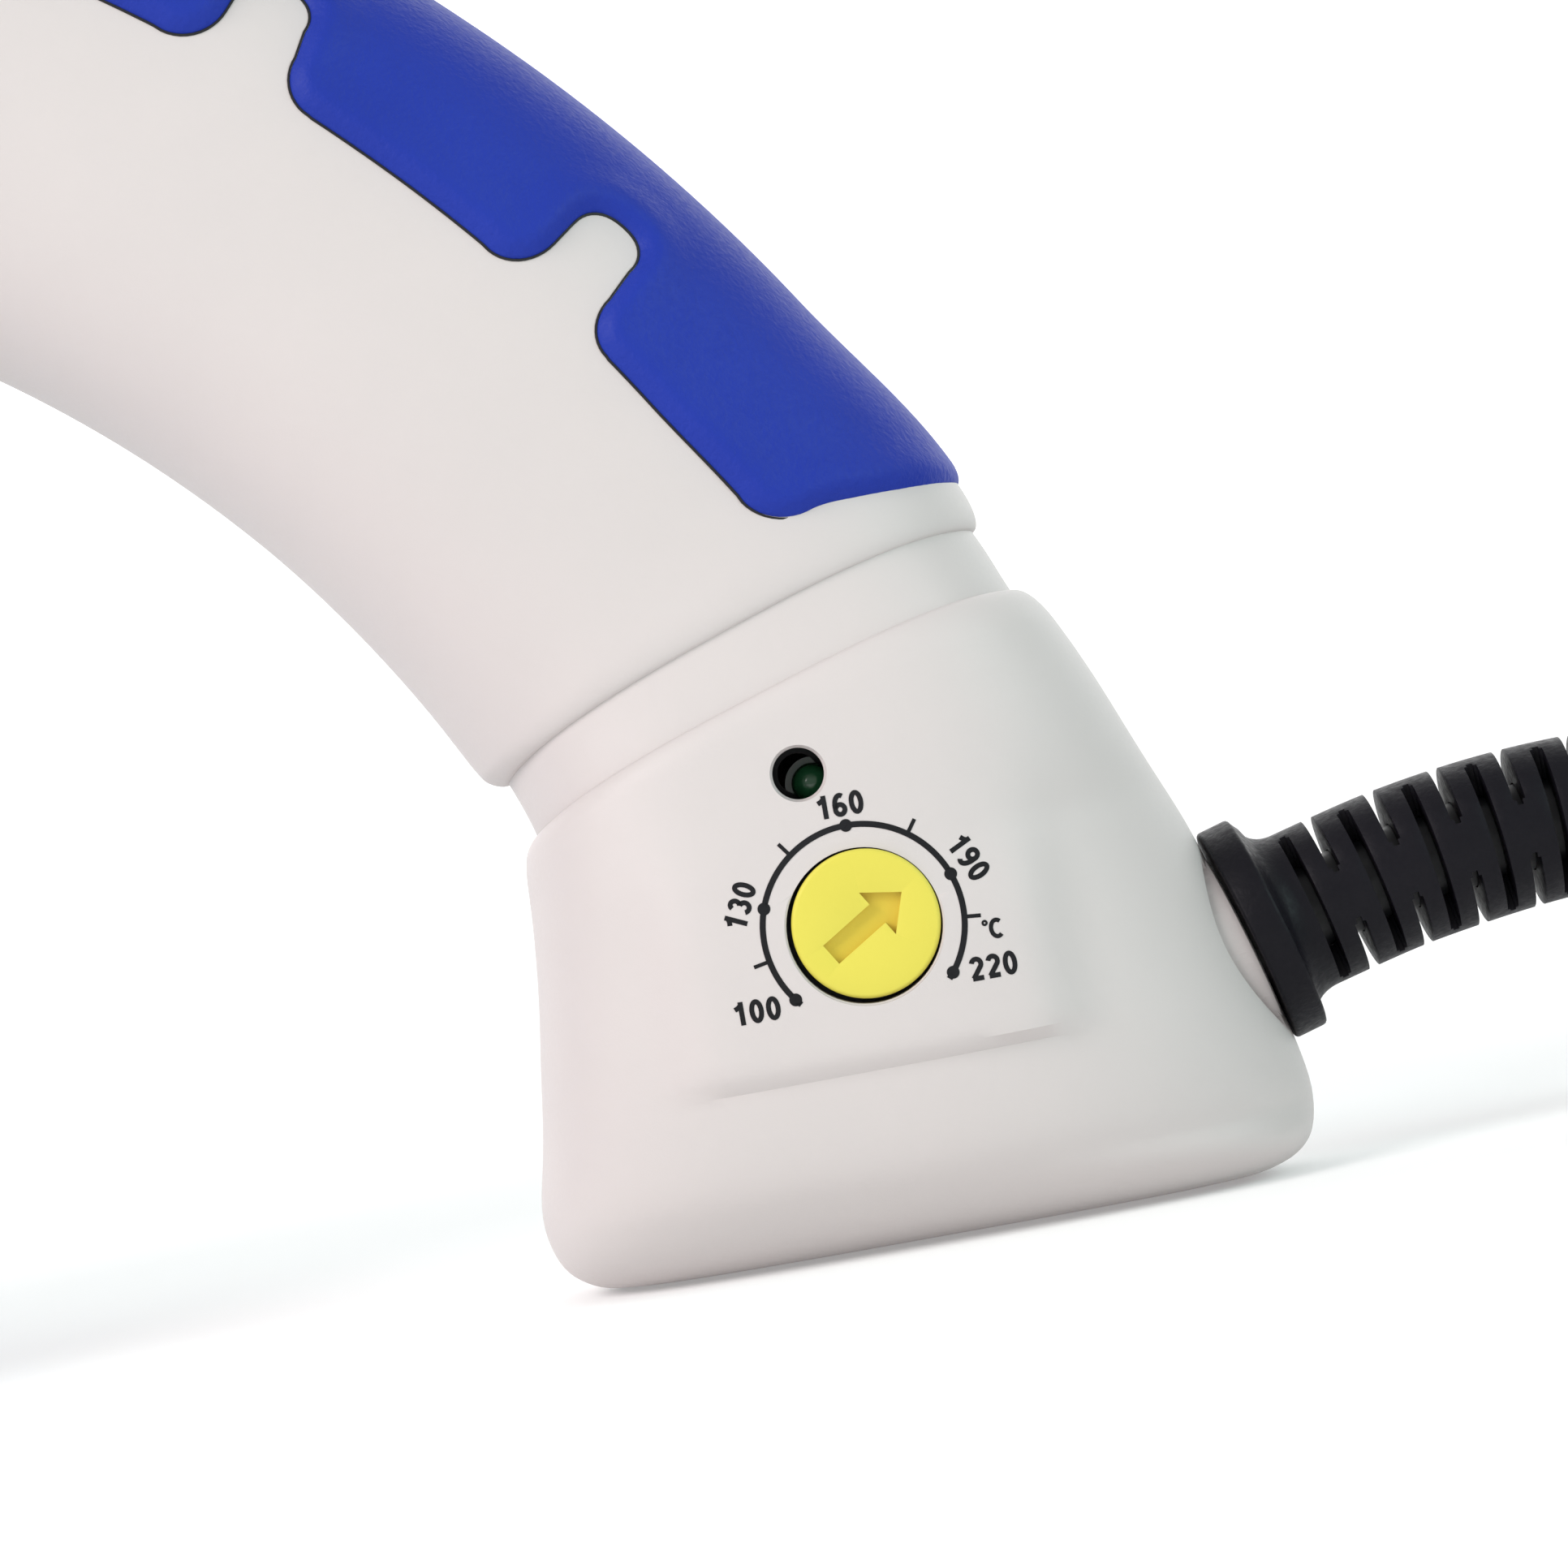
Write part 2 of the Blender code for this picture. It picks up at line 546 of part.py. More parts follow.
def trigger_parts():
    pivot_x, pivot_z = TRIGGER_PIVOT
    outline = [(-72.0, 95.0), (-72.0, 84.8), (-73.2, 81.4), (-76.5, 80.0), (-80.5, 81.6), (-85.0, 84.6),
               (-89.5, 86.2), (-93.4, 86.8), (-93.6, 95.7), (-95.4, 96.1), (-99.6, 96.5), (-100.8, 99.0),
               (-99.4, 102.2), (-96.4, 102.8), (-93.0, 100.4), (-89.0, 97.2), (-87.4, 93.2), (-80.6, 93.2),
               (-80.0, 95.0)]
    trigger = finish_object("trigger", prism(bmesh.new(), outline, -6.0, 6.0), "yellow",
                            (pivot_x, 0, pivot_z))
    hole = rod(bmesh.new(), (pivot_x, -8, pivot_z), (pivot_x, 8, pivot_z), 1.8)
    boolean(trigger, cutter("trigger_bore", hole))
    finish_object("trigger_pin", rod(bmesh.new(), (pivot_x, -10, pivot_z), (pivot_x, 10, pivot_z), 1.5),
                  "steel")
    turns, points = 3, []
    for step in range(turns * 10 + 1):
        turn = 2 * math.pi * step / 10
        points.append((-84 + 2.4 * math.cos(turn), 2.4 * math.sin(turn), 94.1 + 4.0 * step / (turns * 10)))
    curve = bpy.data.curves.new("trigger_spring", "CURVE")
    curve.dimensions = "3D"
    curve.bevel_depth, curve.bevel_resolution, curve.use_fill_caps = 0.4 * MM, 1, True
    spline = curve.splines.new("POLY")
    spline.points.add(len(points) - 1)
    for point, place in zip(spline.points, points):
        point.co = (*(Vector(place) * MM), 1.0)
    spring = bpy.data.objects.new("trigger_spring", curve)
    bpy.context.scene.collection.objects.link(spring)
    curve.materials.append(material("steel", *FINISHES["steel"]))
    body = finish_object("microswitch", block(bmesh.new(), (-90, -4, 99.2), (-71, 4, 107), 0.5, 1), "grey")
    boolean(body, cutter("plunger_hole", rod(bmesh.new(), (-76, 0, 97), (-76, 0, 104), 1.6, 12)))
    bm = turned(bmesh.new(), [(0, 0), (0.8, 0.1), (1.2, 0.6), (1.2, 4.6), (0, 4.6)], (-76, 0, 95.4),
                (0, 0, 1), 12)
    finish_object("switch_plunger", bm, "yellow", (-76, 0, 95.4))


# ---------------------------------------------------------------- pump, boiler and steam line

def steam_works():
    bm = turned(bmesh.new(),
                [(0, 0), (6.0, 0), (6.0, 3), (8.3, 3), (8.3, 19), (6.0, 19), (6.0, 22), (0, 22)],
                (-104, 0, 107), (-1, 0, 0), 20)
    finish_object("pump", bm, "grey")
    finish_object("suction_tube", rod(bmesh.new(), (SUCTION_X, 0, 11), (SUCTION_X, 0, 98.2), 2.4, 12),
                  "hose")
    feed = [(-115, 0, 115.7), (-115.6, 0, 120), (-119, 0, 124.5), (-125, 0, 126.6), (-134.5, 0, 127)]
    tube("feed_hose", feed, 1.9, "hose", 14)
    boiler = finish_object("boiler_block",
                           block(bmesh.new(), (-175, -12, 106), (-135, 12, 135.4), 1.0, 1), "aluminium")
    holes = bmesh.new()
    for side in (-6, 6):
        rod(holes, (-180, side, 112), (-137, side, 112), 2.9, 12)
    boolean(boiler, cutter("rod_holes", holes))
    for index, side in enumerate((-6, 6), 1):
        bm = rod(bmesh.new(), (-179, side, 112), (-137.5, side, 112), 2.5, 12)
        finish_object(f"heating_rod_{index}", bm, "steel")
    wrap = finish_object("insulation", block(bmesh.new(), (-176, -15, 103), (-134, 15, 138.4), 2.0, 2),
                         "insulation")
    boolean(wrap, cutter("insulation_bore", block(bmesh.new(), (-180, -12.4, 105.6), (-130, 12.4, 135.8))))
    disc = turned(bmesh.new(), [(0, 0), (5.5, 0), (5.5, 2.4), (3.5, 3.6), (0, 3.6)], (-134.6, 0, 117.0),
                  (1, 0, 0), 20)
    finish_object("thermal_cutout", disc, "black")
    finish_object("temperature_sensor", rod(bmesh.new(), (-134.6, -7, 109.5), (-128, -7, 109.5), 1.6, 12),
                  "brass")
    pipe = ring_tube(bmesh.new(), (-175.4, 0, HEAD_Z), (-207.5, 0, HEAD_Z), 3.0, 2.0, 16)
    finish_object("steam_pipe", pipe, "brass")


# ---------------------------------------------------------------- tank

def tank():
    low, high = (TANK_X0, -TANK_HALF_WIDTH, TANK_Z0), (TANK_X1, TANK_HALF_WIDTH, BARREL_BOTTOM - 0.4)
    body = finish_object("water_tank", block(bmesh.new(), low, high, 8.0, 3), "tank")
    skin = 2.2
    ears = bmesh.new()
    for x in (-150.5, -136.5):
        block(ears, (x, -30.2, 78.4), (x + 3.0, -24.0, 83.6), 0.8, 1)
    boolean(body, cutter("flap_ears", ears), "UNION")
    cavity = block(bmesh.new(), [c + skin for c in low], [c - skin for c in high], 6.0, 2)
    boolean(body, cutter("tank_cavity", cavity))
    holes = rod(bmesh.new(), (SUCTION_X, 0, 86), (SUCTION_X, 0, 96), 5.2, 16)
    boolean(body, cutter("tank_spout", holes))
    holes = rod(bmesh.new(), (FILLER_X, -30, FILLER_Z), (FILLER_X, -20, FILLER_Z), FILLER_R, 24)
    boolean(body, cutter("filler_hole", holes))
    boolean(body, cutter("ear_bore", rod(bmesh.new(), (-152, HINGE_Y, 81), (-132, HINGE_Y, 81), 1.1, 12)))
    bm = ring_tube(bmesh.new(), (SUCTION_X, 0, 89), (SUCTION_X, 0, 97), 4.9, 2.8, 20)
    finish_object("tank_gasket", bm, "black")
    for name, x in (("tank_foot_front", -170.0), ("tank_foot_rear", -130.0)):
        finish_object(name, block(bmesh.new(), (x, -18, 0), (x + 12, 18, 3.7), 1.0, 1), "black")
    disc = turned(bmesh.new(), [(0, 0), (12.0, 0), (13.0, 1.0), (13.0, 2.6), (0, 2.6)],
                  (FILLER_X, -28.0, FILLER_Z), (0, 1, 0), 28)
    flap = finish_object("filler_flap", disc, "grip", (FILLER_X, HINGE_Y, 81))
    knuckle = rod(bmesh.new(), (-147.0, HINGE_Y, 81), (-137.0, HINGE_Y, 81), 2.2, 16)
    boolean(flap, cutter("flap_knuckle", knuckle), "UNION")
    neck = block(bmesh.new(), (-146.0, -27.9, 76), (-138.0, -25.5, 81), 0.0)
    boolean(flap, cutter("flap_neck", neck), "UNION")
    boolean(flap, cutter("flap_bore", rod(bmesh.new(), (-150, HINGE_Y, 81), (-134, HINGE_Y, 81), 1.1, 12)))
    finish_object("flap_pin", rod(bmesh.new(), (-150.3, HINGE_Y, 81), (-133.7, HINGE_Y, 81), 0.8, 12),
                  "steel")
    bm = turned(bmesh.new(), [(0, 0), (8.6, 0), (8.6, 3.2), (7.8, 4.0), (0, 4.0)],
                (FILLER_X, -25.1, FILLER_Z), (0, 1, 0), 24)
    finish_object("filler_seal", bm, "black", (FILLER_X, HINGE_Y, 81))


# ---------------------------------------------------------------- steam head

def lug(bm, y0, y1, base_x):
    """A flat lug from base_x to a round end about the head's pivot."""
    away = math.copysign(1.0, HEAD_PIVOT_X - base_x)
    outline = [(base_x, HEAD_Z - 5.0)]
    for step in range(13):
        turn = math.pi * (step / 12 - 0.5)
        outline.append((HEAD_PIVOT_X + away * 5.0 * math.cos(turn), HEAD_Z + 5.0 * math.sin(turn)))
    return prism(bm, outline + [(base_x, HEAD_Z + 5.0)], y0, y1)


def head():
    plate = finish_object("head_bracket",
                          block(bmesh.new(), (-196, -23, 95.5), (-190.3, 23, 139.5), 2.5, 2), "black")
    ears = bmesh.new()
    for y in (-21.0, 16.0):
        lug(ears, y, y + 5, -194.0)
    boolean(plate, cutter("bracket_ears", ears), "UNION")
    holes = rod(bmesh.new(), (-200, 0, HEAD_Z), (-185, 0, HEAD_Z), 3.5, 16)
    rod(holes, (HEAD_PIVOT_X, -30, HEAD_Z), (HEAD_PIVOT_X, -10, HEAD_Z), 2.3, 16)
    rod(holes, (HEAD_PIVOT_X, 10, HEAD_Z), (HEAD_PIVOT_X, 30, HEAD_Z), 2.3, 16)
    boolean(plate, cutter("bracket_holes", holes))
    for name, side in (("head_pin_near", -1), ("head_pin_far", 1)):
        bm = rod(bmesh.new(), (HEAD_PIVOT_X, side * 22, HEAD_Z), (HEAD_PIVOT_X, side * 8.5, HEAD_Z),
                 2.0, 16)
        finish_object(name, bm, "steel")

    pivot = (HEAD_PIVOT_X, 0, HEAD_Z)
    low = (-222.0, -PLATE_HALF_Y, HEAD_Z - PLATE_HALF_Z)
    high = (-210.5, PLATE_HALF_Y, HEAD_Z + PLATE_HALF_Z)
    hood = finish_object("steam_hood", block(bmesh.new(), low, high, 5.0, 3), "casing", pivot)
    hollow = block(bmesh.new(), (-230, -PLATE_HALF_Y + 2.4, low[2] + 2.4),
                   (-212.9, PLATE_HALF_Y - 2.4, high[2] - 2.4))
    boolean(hood, cutter("hood_hollow", hollow))
    flat_rim = block(bmesh.new(), (-240, -70, 0), (-216.4, 70, 240))
    boolean(hood, cutter("hood_rim", flat_rim))
    lugs = bmesh.new()
    for y in (-15.0, 9.0):
        lug(lugs, y, y + 6, -211.6)
    boolean(hood, cutter("hood_lugs", lugs), "UNION")
    holes = rod(bmesh.new(), (-214, 0, HEAD_Z), (-208, 0, HEAD_Z), 6.5, 20)
    rod(holes, (HEAD_PIVOT_X, -30, HEAD_Z), (HEAD_PIVOT_X, -8, HEAD_Z), 2.3, 16)
    rod(holes, (HEAD_PIVOT_X, 8, HEAD_Z), (HEAD_PIVOT_X, 30, HEAD_Z), 2.3, 16)
    corners = [(y, HEAD_Z + z) for y in (-45, 45) for z in (-68, 68)]
    for y, z in corners:
        rod(holes, (-214, y, z), (-208, y, z), 1.9, 12)
    boolean(hood, cutter("hood_holes", holes))

    rim = block(bmesh.new(), (-218.4, -PLATE_HALF_Y + 0.4, low[2] + 0.4),
                (-216.7, PLATE_HALF_Y - 0.4, high[2] - 0.4))
    gasket = finish_object("plate_gasket", rim, "black", pivot)
    inside = block(bmesh.new(), (-225, -PLATE_HALF_Y + 5, low[2] + 5),
                   (-210, PLATE_HALF_Y - 5, high[2] - 5))
    boolean(gasket, cutter("gasket_window", inside))
    bm = block(bmesh.new(), (-223.0, -PLATE_HALF_Y, low[2]), (-218.7, PLATE_HALF_Y, high[2]), 1.2, 1)
    plate = finish_object("steam_plate", bm, "aluminium", pivot)
    holes = bmesh.new()
    for row in range(6):
        for column in range(4):
            y, z = (column - 1.5) * 22.0, HEAD_Z + (row - 2.5) * 22.0
            rod(holes, (-230, y, z), (-210, y, z), 2.0, 8)
    for y, z in corners:
        rod(holes, (-221.0, y, z), (-210.0, y, z), 1.9, 8)
    boolean(plate, cutter("steam_holes", holes))
    for index, (y, z) in enumerate(corners, 1):
        profile = [(0, 0), (2.7, 0), (2.7, 1.5), (1.5, 1.5), (1.5, 11.4), (0, 11.9)]
        bm = turned(bmesh.new(), profile, (-208.6, y, z), (-1, 0, 0), 12)
        finish_object(f"plate_screw_{index}", bm, "steel", pivot)


# ---------------------------------------------------------------- mains cord

def cord():
    tube("mains_cord", CORD_ROUTE, CORD_R, "black", 10)
    bm = ring_tube(bmesh.new(), (COIL_X, COIL_Y, 0), (COIL_X, COIL_Y, COIL_HEIGHT), COIL_OUTER_R,
                   COIL_INNER_R, 40)
    finish_object("cord_coil", bm, "black", smooth=False)
    tube("cord_tail", TAIL_ROUTE, CORD_R, "black", 6)
    profile = [(0, 0), (5.0, 0), (6.5, 9), (12.5, 16), (13.0, 20), (13.0, 37), (12.0, 38), (0, 38)]
    bm = turned(bmesh.new(), profile, (TAIL_X, PLUG_Y0, PLUG_Z), (0, -1, 0), 24)
    finish_object("plug_body", bm, "black")
    for index, side in enumerate((-9.5, 9.5), 1):
        profile = [(0, 0), (2.4, 0), (2.4, 18), (1.6, 19), (0, 19)]
        bm = turned(bmesh.new(), profile, (TAIL_X + side * 0.74, PLUG_Y1 - GAP, PLUG_Z), (0, -1, 0), 12)
        finish_object(f"plug_pin_{index}", bm, "brass")


def main():
    clear_scene()
    casing()
    soft_grip()
    dial()
    heel_electrics()
    boot_solid()
    lead_inside()
    trigger_parts()
    steam_works()
    tank()
    head()
    cord()


main()
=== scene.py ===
"""Looks of the hand-held wallpaper steamer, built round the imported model.

Frame: origin in the middle of the heel's flat bottom, +Z up, +X towards the cord, the dial on -Y.
Shapes below are worked out in millimetres and MM turns them into metres.
"""
import json
import math

import bmesh
import bpy
import numpy as np
from mathutils import Matrix, Vector
from mathutils.bvhtree import BVHTree
from mathutils.geometry import delaunay_2d_cdt


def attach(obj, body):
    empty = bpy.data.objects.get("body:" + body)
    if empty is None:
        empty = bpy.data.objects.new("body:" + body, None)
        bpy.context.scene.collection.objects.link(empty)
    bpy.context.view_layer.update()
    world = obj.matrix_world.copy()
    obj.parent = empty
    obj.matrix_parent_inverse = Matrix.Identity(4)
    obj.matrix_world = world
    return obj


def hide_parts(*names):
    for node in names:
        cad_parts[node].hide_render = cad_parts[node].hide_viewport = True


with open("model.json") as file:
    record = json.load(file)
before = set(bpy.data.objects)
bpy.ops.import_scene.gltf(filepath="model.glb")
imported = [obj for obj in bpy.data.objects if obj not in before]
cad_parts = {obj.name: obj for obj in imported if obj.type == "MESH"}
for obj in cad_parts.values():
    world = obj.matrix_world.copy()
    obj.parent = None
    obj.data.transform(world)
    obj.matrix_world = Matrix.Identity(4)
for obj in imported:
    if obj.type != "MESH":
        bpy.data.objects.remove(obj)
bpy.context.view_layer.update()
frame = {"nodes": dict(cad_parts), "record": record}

MM = 0.001
SPLIT, WALL = 0.1, 2.2

# The same driving dimensions as the model
ARC_X, ARC_Z = -121.0, -4.6
R_OUTER, R_INNER = 146.1, 103.3
HANDLE_HALF_WIDTH, HANDLE_POWER = 17.8, 2.5
HEEL_BACK_POWER = 2.1
GRIP_NECK_DEG, GRIP_TOP_DEG, SLOT_DEGREES = 64.2, 27.0, (52.33, 39.25)
GRIP_LOBE_R, GRIP_SLOT_R, GRIP_PROUD, SLOT_HALF, SLOT_LEAN_DEG = 132.0, 140.7, 0.8, 3.05, 0.22
LOBE_STEPS = (0.0, 0.45, 1.1)     # each lobe reaches a little less far down the flank
EDGE_ROLL, EDGE_BEAD, GRIP_SUNK = 1.7, 0.34, 0.06
LOBE_SLOPE = 0.04                 # mm outward per degree from a lobe's neck side
NECK_CORNER, TOP_CORNER = 3.6, 3.3     # corners of each lobe, on its neck side and its far side
DIAL_X, DIAL_Z, KNOB_R, KNOB_HOLE_R = -1.15, 25.5, 5.68, 5.93
LED_X, LED_Z, LED_HOLE_R = -4.2, 37.6, 1.97
ARROW_DEG, DIAL_FACE_Y = 58.4, -21.4
BOOT_X, BOOT_Z, BOOT_TILT_DEG, BOSS_R = 28.3, 18.5, 16.0, 7.9
BOSS_END = Vector((BOOT_X, 0, BOOT_Z))
CORD_R = 3.5
ALONG_X, ALONG_Y, ALONG_Z = (1, 0, 0), (0, 1, 0), (0, 0, 1)
SUCTION_X, SPOUT_R = -120.0, 5.2
TRIGGER_PIVOT, TRIGGER_BORE_R = (-97.0, 0.0, 99.0), 1.8
TANK_LOW, TANK_HIGH, TANK_SKIN = (-176.0, -25.0, 4.0), (-112.0, 25.0, 92.6), 2.2
FILLER_X, FILLER_Z, FILLER_R, HINGE_Y, HINGE_Z = -142.0, 66.0, 10.0, -27.6, 81.0
HEAD_PIVOT_X, HEAD_Z = -204.0, 117.5
PLATE_HALF_Z, PLATE_HALF_Y = 78.0, 55.0
LUG_R, HEAD_BORE_R, PLATE_SCREW_R = 5.0, 2.3, 1.9
HOOD_FRONT, HOOD_BACK, HOOD_WALL = -222.0, -210.5, 2.4
COIL_X, COIL_Y = 141.0, 45.5
TAIL_X, PLUG_Z, PLUG_Y0, PLUG_Y1 = 107.8, 13.0, -30.0, -68.0
POST_R, SCREW_R, WELL_R = 4.4, 1.8, 3.0
# Each casing screw's place, and how far its posts reach into the flank's wall
SCREW_PLACES = [(-18.0, 12.0, 17.2), (-19.0, 56.0, 16.0), (-52.0, 94.0, 16.0),
                (-112.0, 134.0, 17.8), (-184.0, 134.0, 19.2), (-184.0, 101.0, 19.2)]


# ---------------------------------------------------------------- materials

def shader_of(name):
    mat = bpy.data.materials.new(name)
    mat.use_nodes = True
    return mat, mat.node_tree, mat.node_tree.nodes["Principled BSDF"]


def put(node, values):
    """Set a node's inputs by name."""
    for name, value in values.items():
        node.inputs[name].default_value = value


def noise(tree, scale, detail):
    place = tree.nodes.new("ShaderNodeTexCoord")
    node = tree.nodes.new("ShaderNodeTexNoise")
    put(node, {"Scale": scale, "Detail": detail, "Roughness": 0.6})
    tree.links.new(place.outputs["Object"], node.inputs["Vector"])
    return node


def spread(tree, source, low, high, from_low=0.3, from_high=0.7):
    node = tree.nodes.new("ShaderNodeMapRange")
    put(node, {"From Min": from_low, "From Max": from_high, "To Min": low, "To Max": high})
    tree.links.new(source, node.inputs["Value"])
    return node.outputs["Result"]


def blend_colours(tree, factor, first, second):
    node = tree.nodes.new("ShaderNodeMix")
    node.data_type = "RGBA"
    put(node, {"A": (*first, 1.0), "B": (*second, 1.0)})
    tree.links.new(factor, node.inputs["Factor"])
    return node.outputs["Result"]


def add_relief(tree, shader, height, strength, distance):
    relief = tree.nodes.new("ShaderNodeBump")
    put(relief, {"Strength": strength, "Distance": distance})
    tree.links.new(height, relief.inputs["Height"])
    tree.links.new(relief.outputs["Normal"], shader.inputs["Normal"])


def plastic(name, colour, darker, roughness, grain, bump, specular):
    """Moulded surface: slow drift of colour, fine grain in the bump and in the roughness."""
    mat, tree, shader = shader_of(name)
    slow = noise(tree, 60.0, 4.0)
    fine = noise(tree, grain, 2.0)
    tone = blend_colours(tree, spread(tree, slow.outputs["Fac"], 0.0, 1.0), colour, darker)
    tree.links.new(tone, shader.inputs["Base Color"])
    tree.links.new(spread(tree, fine.outputs["Fac"], *roughness), shader.inputs["Roughness"])
    put(shader, {"Specular IOR Level": specular})
    add_relief(tree, shader, fine.outputs["Fac"], bump, 0.0002)
    return mat


def brushed(name, colour, roughness, along, grain):
    """Metal with fine streaks: noise stretched by along."""
    mat, tree, shader = shader_of(name)
    place = tree.nodes.new("ShaderNodeTexCoord")
    stretch = tree.nodes.new("ShaderNodeMapping")
    put(stretch, {"Scale": along})
    streaks = tree.nodes.new("ShaderNodeTexNoise")
    put(streaks, {"Scale": grain, "Detail": 4.0})
    tree.links.new(place.outputs["Object"], stretch.inputs["Vector"])
    tree.links.new(stretch.outputs["Vector"], streaks.inputs["Vector"])
    darker = [c * 0.82 for c in colour]
    tone = blend_colours(tree, spread(tree, streaks.outputs["Fac"], 0.0, 1.0), colour, darker)
    tree.links.new(tone, shader.inputs["Base Color"])
    tree.links.new(spread(tree, streaks.outputs["Fac"], roughness - 0.07, roughness + 0.1),
                   shader.inputs["Roughness"])
    put(shader, {"Metallic": 1.0})
    add_relief(tree, shader, streaks.outputs["Fac"], 0.08, 0.0001)
    return mat


def soft_touch(name, colour, darker):
    """Rubbery overmould: grainy, a faint lighter bloom where it is seen at a slant."""
    mat = plastic(name, colour, darker, (0.46, 0.60), 1900.0, 0.5, 0.17)
    put(mat.node_tree.nodes["Principled BSDF"],
        {"Sheen Weight": 0.04, "Sheen Roughness": 0.45, "Sheen Tint": (0.55, 0.62, 1.0, 1.0)})
    return mat


def see_through(name, colour, roughness, transmission):
    darker = [c * 0.93 for c in colour]
    mat = plastic(name, colour, darker, (roughness, roughness + 0.08), 1500.0, 0.02, 0.5)
    put(mat.node_tree.nodes["Principled BSDF"], {"Transmission Weight": transmission, "IOR": 1.45})
    return mat


# Colour, darker colour, roughness, grain, bump, specular
PLASTICS = {
    "casing": ((0.575, 0.532, 0.524), (0.560, 0.520, 0.513), (0.44, 0.56), 3400.0, 0.05, 0.35),
    "yellow": ((0.67, 0.60, 0.088), (0.645, 0.575, 0.08), (0.42, 0.56), 2600.0, 0.05, 0.25),
    "recess": ((0.68, 0.54, 0.062), (0.64, 0.49, 0.052), (0.45, 0.6), 2600.0, 0.06, 0.3),
    "black": ((0.014, 0.014, 0.016), (0.010, 0.010, 0.012), (0.45, 0.62), 2600.0, 0.08, 0.3),
    "rubber": ((0.0062, 0.0054, 0.0085), (0.0042, 0.0040, 0.0064), (0.38, 0.55), 1900.0, 0.22, 0.14),
    "sheath": ((0.016, 0.016, 0.019), (0.011, 0.011, 0.014), (0.36, 0.5), 900.0, 0.06, 0.45),
    "print": ((0.009, 0.009, 0.010), (0.014, 0.014, 0.016), (0.55, 0.7), 2600.0, 0.03, 0.12),
    "lens": ((0.016, 0.085, 0.034), (0.013, 0.070, 0.028), (0.12, 0.2), 1200.0, 0.01, 0.6),
    "grey": ((0.16, 0.16, 0.17), (0.13, 0.13, 0.14), (0.45, 0.6), 2400.0, 0.06, 0.4),
    "board": ((0.02, 0.15, 0.06), (0.015, 0.11, 0.045), (0.3, 0.4), 900.0, 0.03, 0.5),
    "insulation": ((0.78, 0.75, 0.68), (0.68, 0.65, 0.58), (0.85, 0.95), 900.0, 0.5, 0.2),
}
# Colour, roughness, stretch of the streaks, grain
METALS = {
    "steel": ((0.58, 0.58, 0.60), 0.32, (1.0, 1.0, 1.0), 500.0),
    "brass": ((0.70, 0.52, 0.24), 0.3, (1.0, 1.0, 1.0), 500.0),
    "aluminium": ((0.76, 0.77, 0.78), 0.34, (1.0, 1.0, 30.0), 240.0),
}
MATS = {name: plastic(name, *look) for name, look in PLASTICS.items()}
MATS.update({name: brushed(name, *look) for name, look in METALS.items()})
MATS["grip"] = soft_touch("grip", (0.0118, 0.0325, 0.318), (0.0098, 0.028, 0.285))
MATS["tank"] = see_through("tank", (0.50, 0.66, 0.90), 0.08, 0.85)
MATS["hose"] = see_through("hose", (0.86, 0.85, 0.80), 0.25, 0.5)


# ---------------------------------------------------------------- mesh helpers

def mesh_object(name, points, faces, mat, sharp=35.0):
    mesh = bpy.data.meshes.new(name)
    mesh.from_pydata([tuple(float(c) * MM for c in p) for p in points], [], [tuple(f) for f in faces])
    mesh.validate()
    mesh.update()
    obj = bpy.data.objects.new(name, mesh)
    bpy.context.scene.collection.objects.link(obj)
    mesh.materials.append(MATS[mat])
    shade(obj, sharp)
    return obj


def shade(obj, sharp=35.0):
    obj.data.shade_smooth()
    obj.data.set_sharp_from_angle(angle=math.radians(sharp))


def outward(obj):
    """Turn the faces of a closed mesh outward, judged by its signed volume."""
    bm = bmesh.new()
    bm.from_mesh(obj.data)
    bmesh.ops.recalc_face_normals(bm, faces=bm.faces)
    bm.to_mesh(obj.data)
    bm.free()
    return obj


def turned(name, profile, origin, axis, mat, segments=64, sharp=35.0):
    """A closed solid turned from (radius, distance along the axis) pairs."""
    axis = Vector(axis).normalized()
    side = axis.orthogonal().normalized()
    other = axis.cross(side)
    origin = Vector(origin)
    points, rings, faces = [], [], []
    for radius, along in profile:
        centre = origin + axis * along
        if radius < 1e-6:
            rings.append([len(points)])
            points.append(centre)
            continue
        ring = []
        for step in range(segments):
            turn = 2 * math.pi * step / segments
            ring.append(len(points))
            points.append(centre + side * radius * math.cos(turn) + other * radius * math.sin(turn))
        rings.append(ring)
    for low, high in zip(rings, rings[1:]):
        for step in range(segments):
            after = (step + 1) % segments
            quad = [low[step % len(low)], low[after % len(low)], high[after % len(high)],
                    high[step % len(high)]]
            faces.append(list(dict.fromkeys(quad)))
    for ring in (rings[0], rings[-1]):
        if len(ring) > 1:
            faces.append(ring)
    return outward(mesh_object(name, points, faces, mat, sharp))


def rod(name, place, axis, radius, low, high, mat, segments):
    """A round bar whose ends are at low and high along its axis."""
    return turned(name, [(0, low), (radius, low), (radius, high), (0, high)], place, axis, mat, segments)


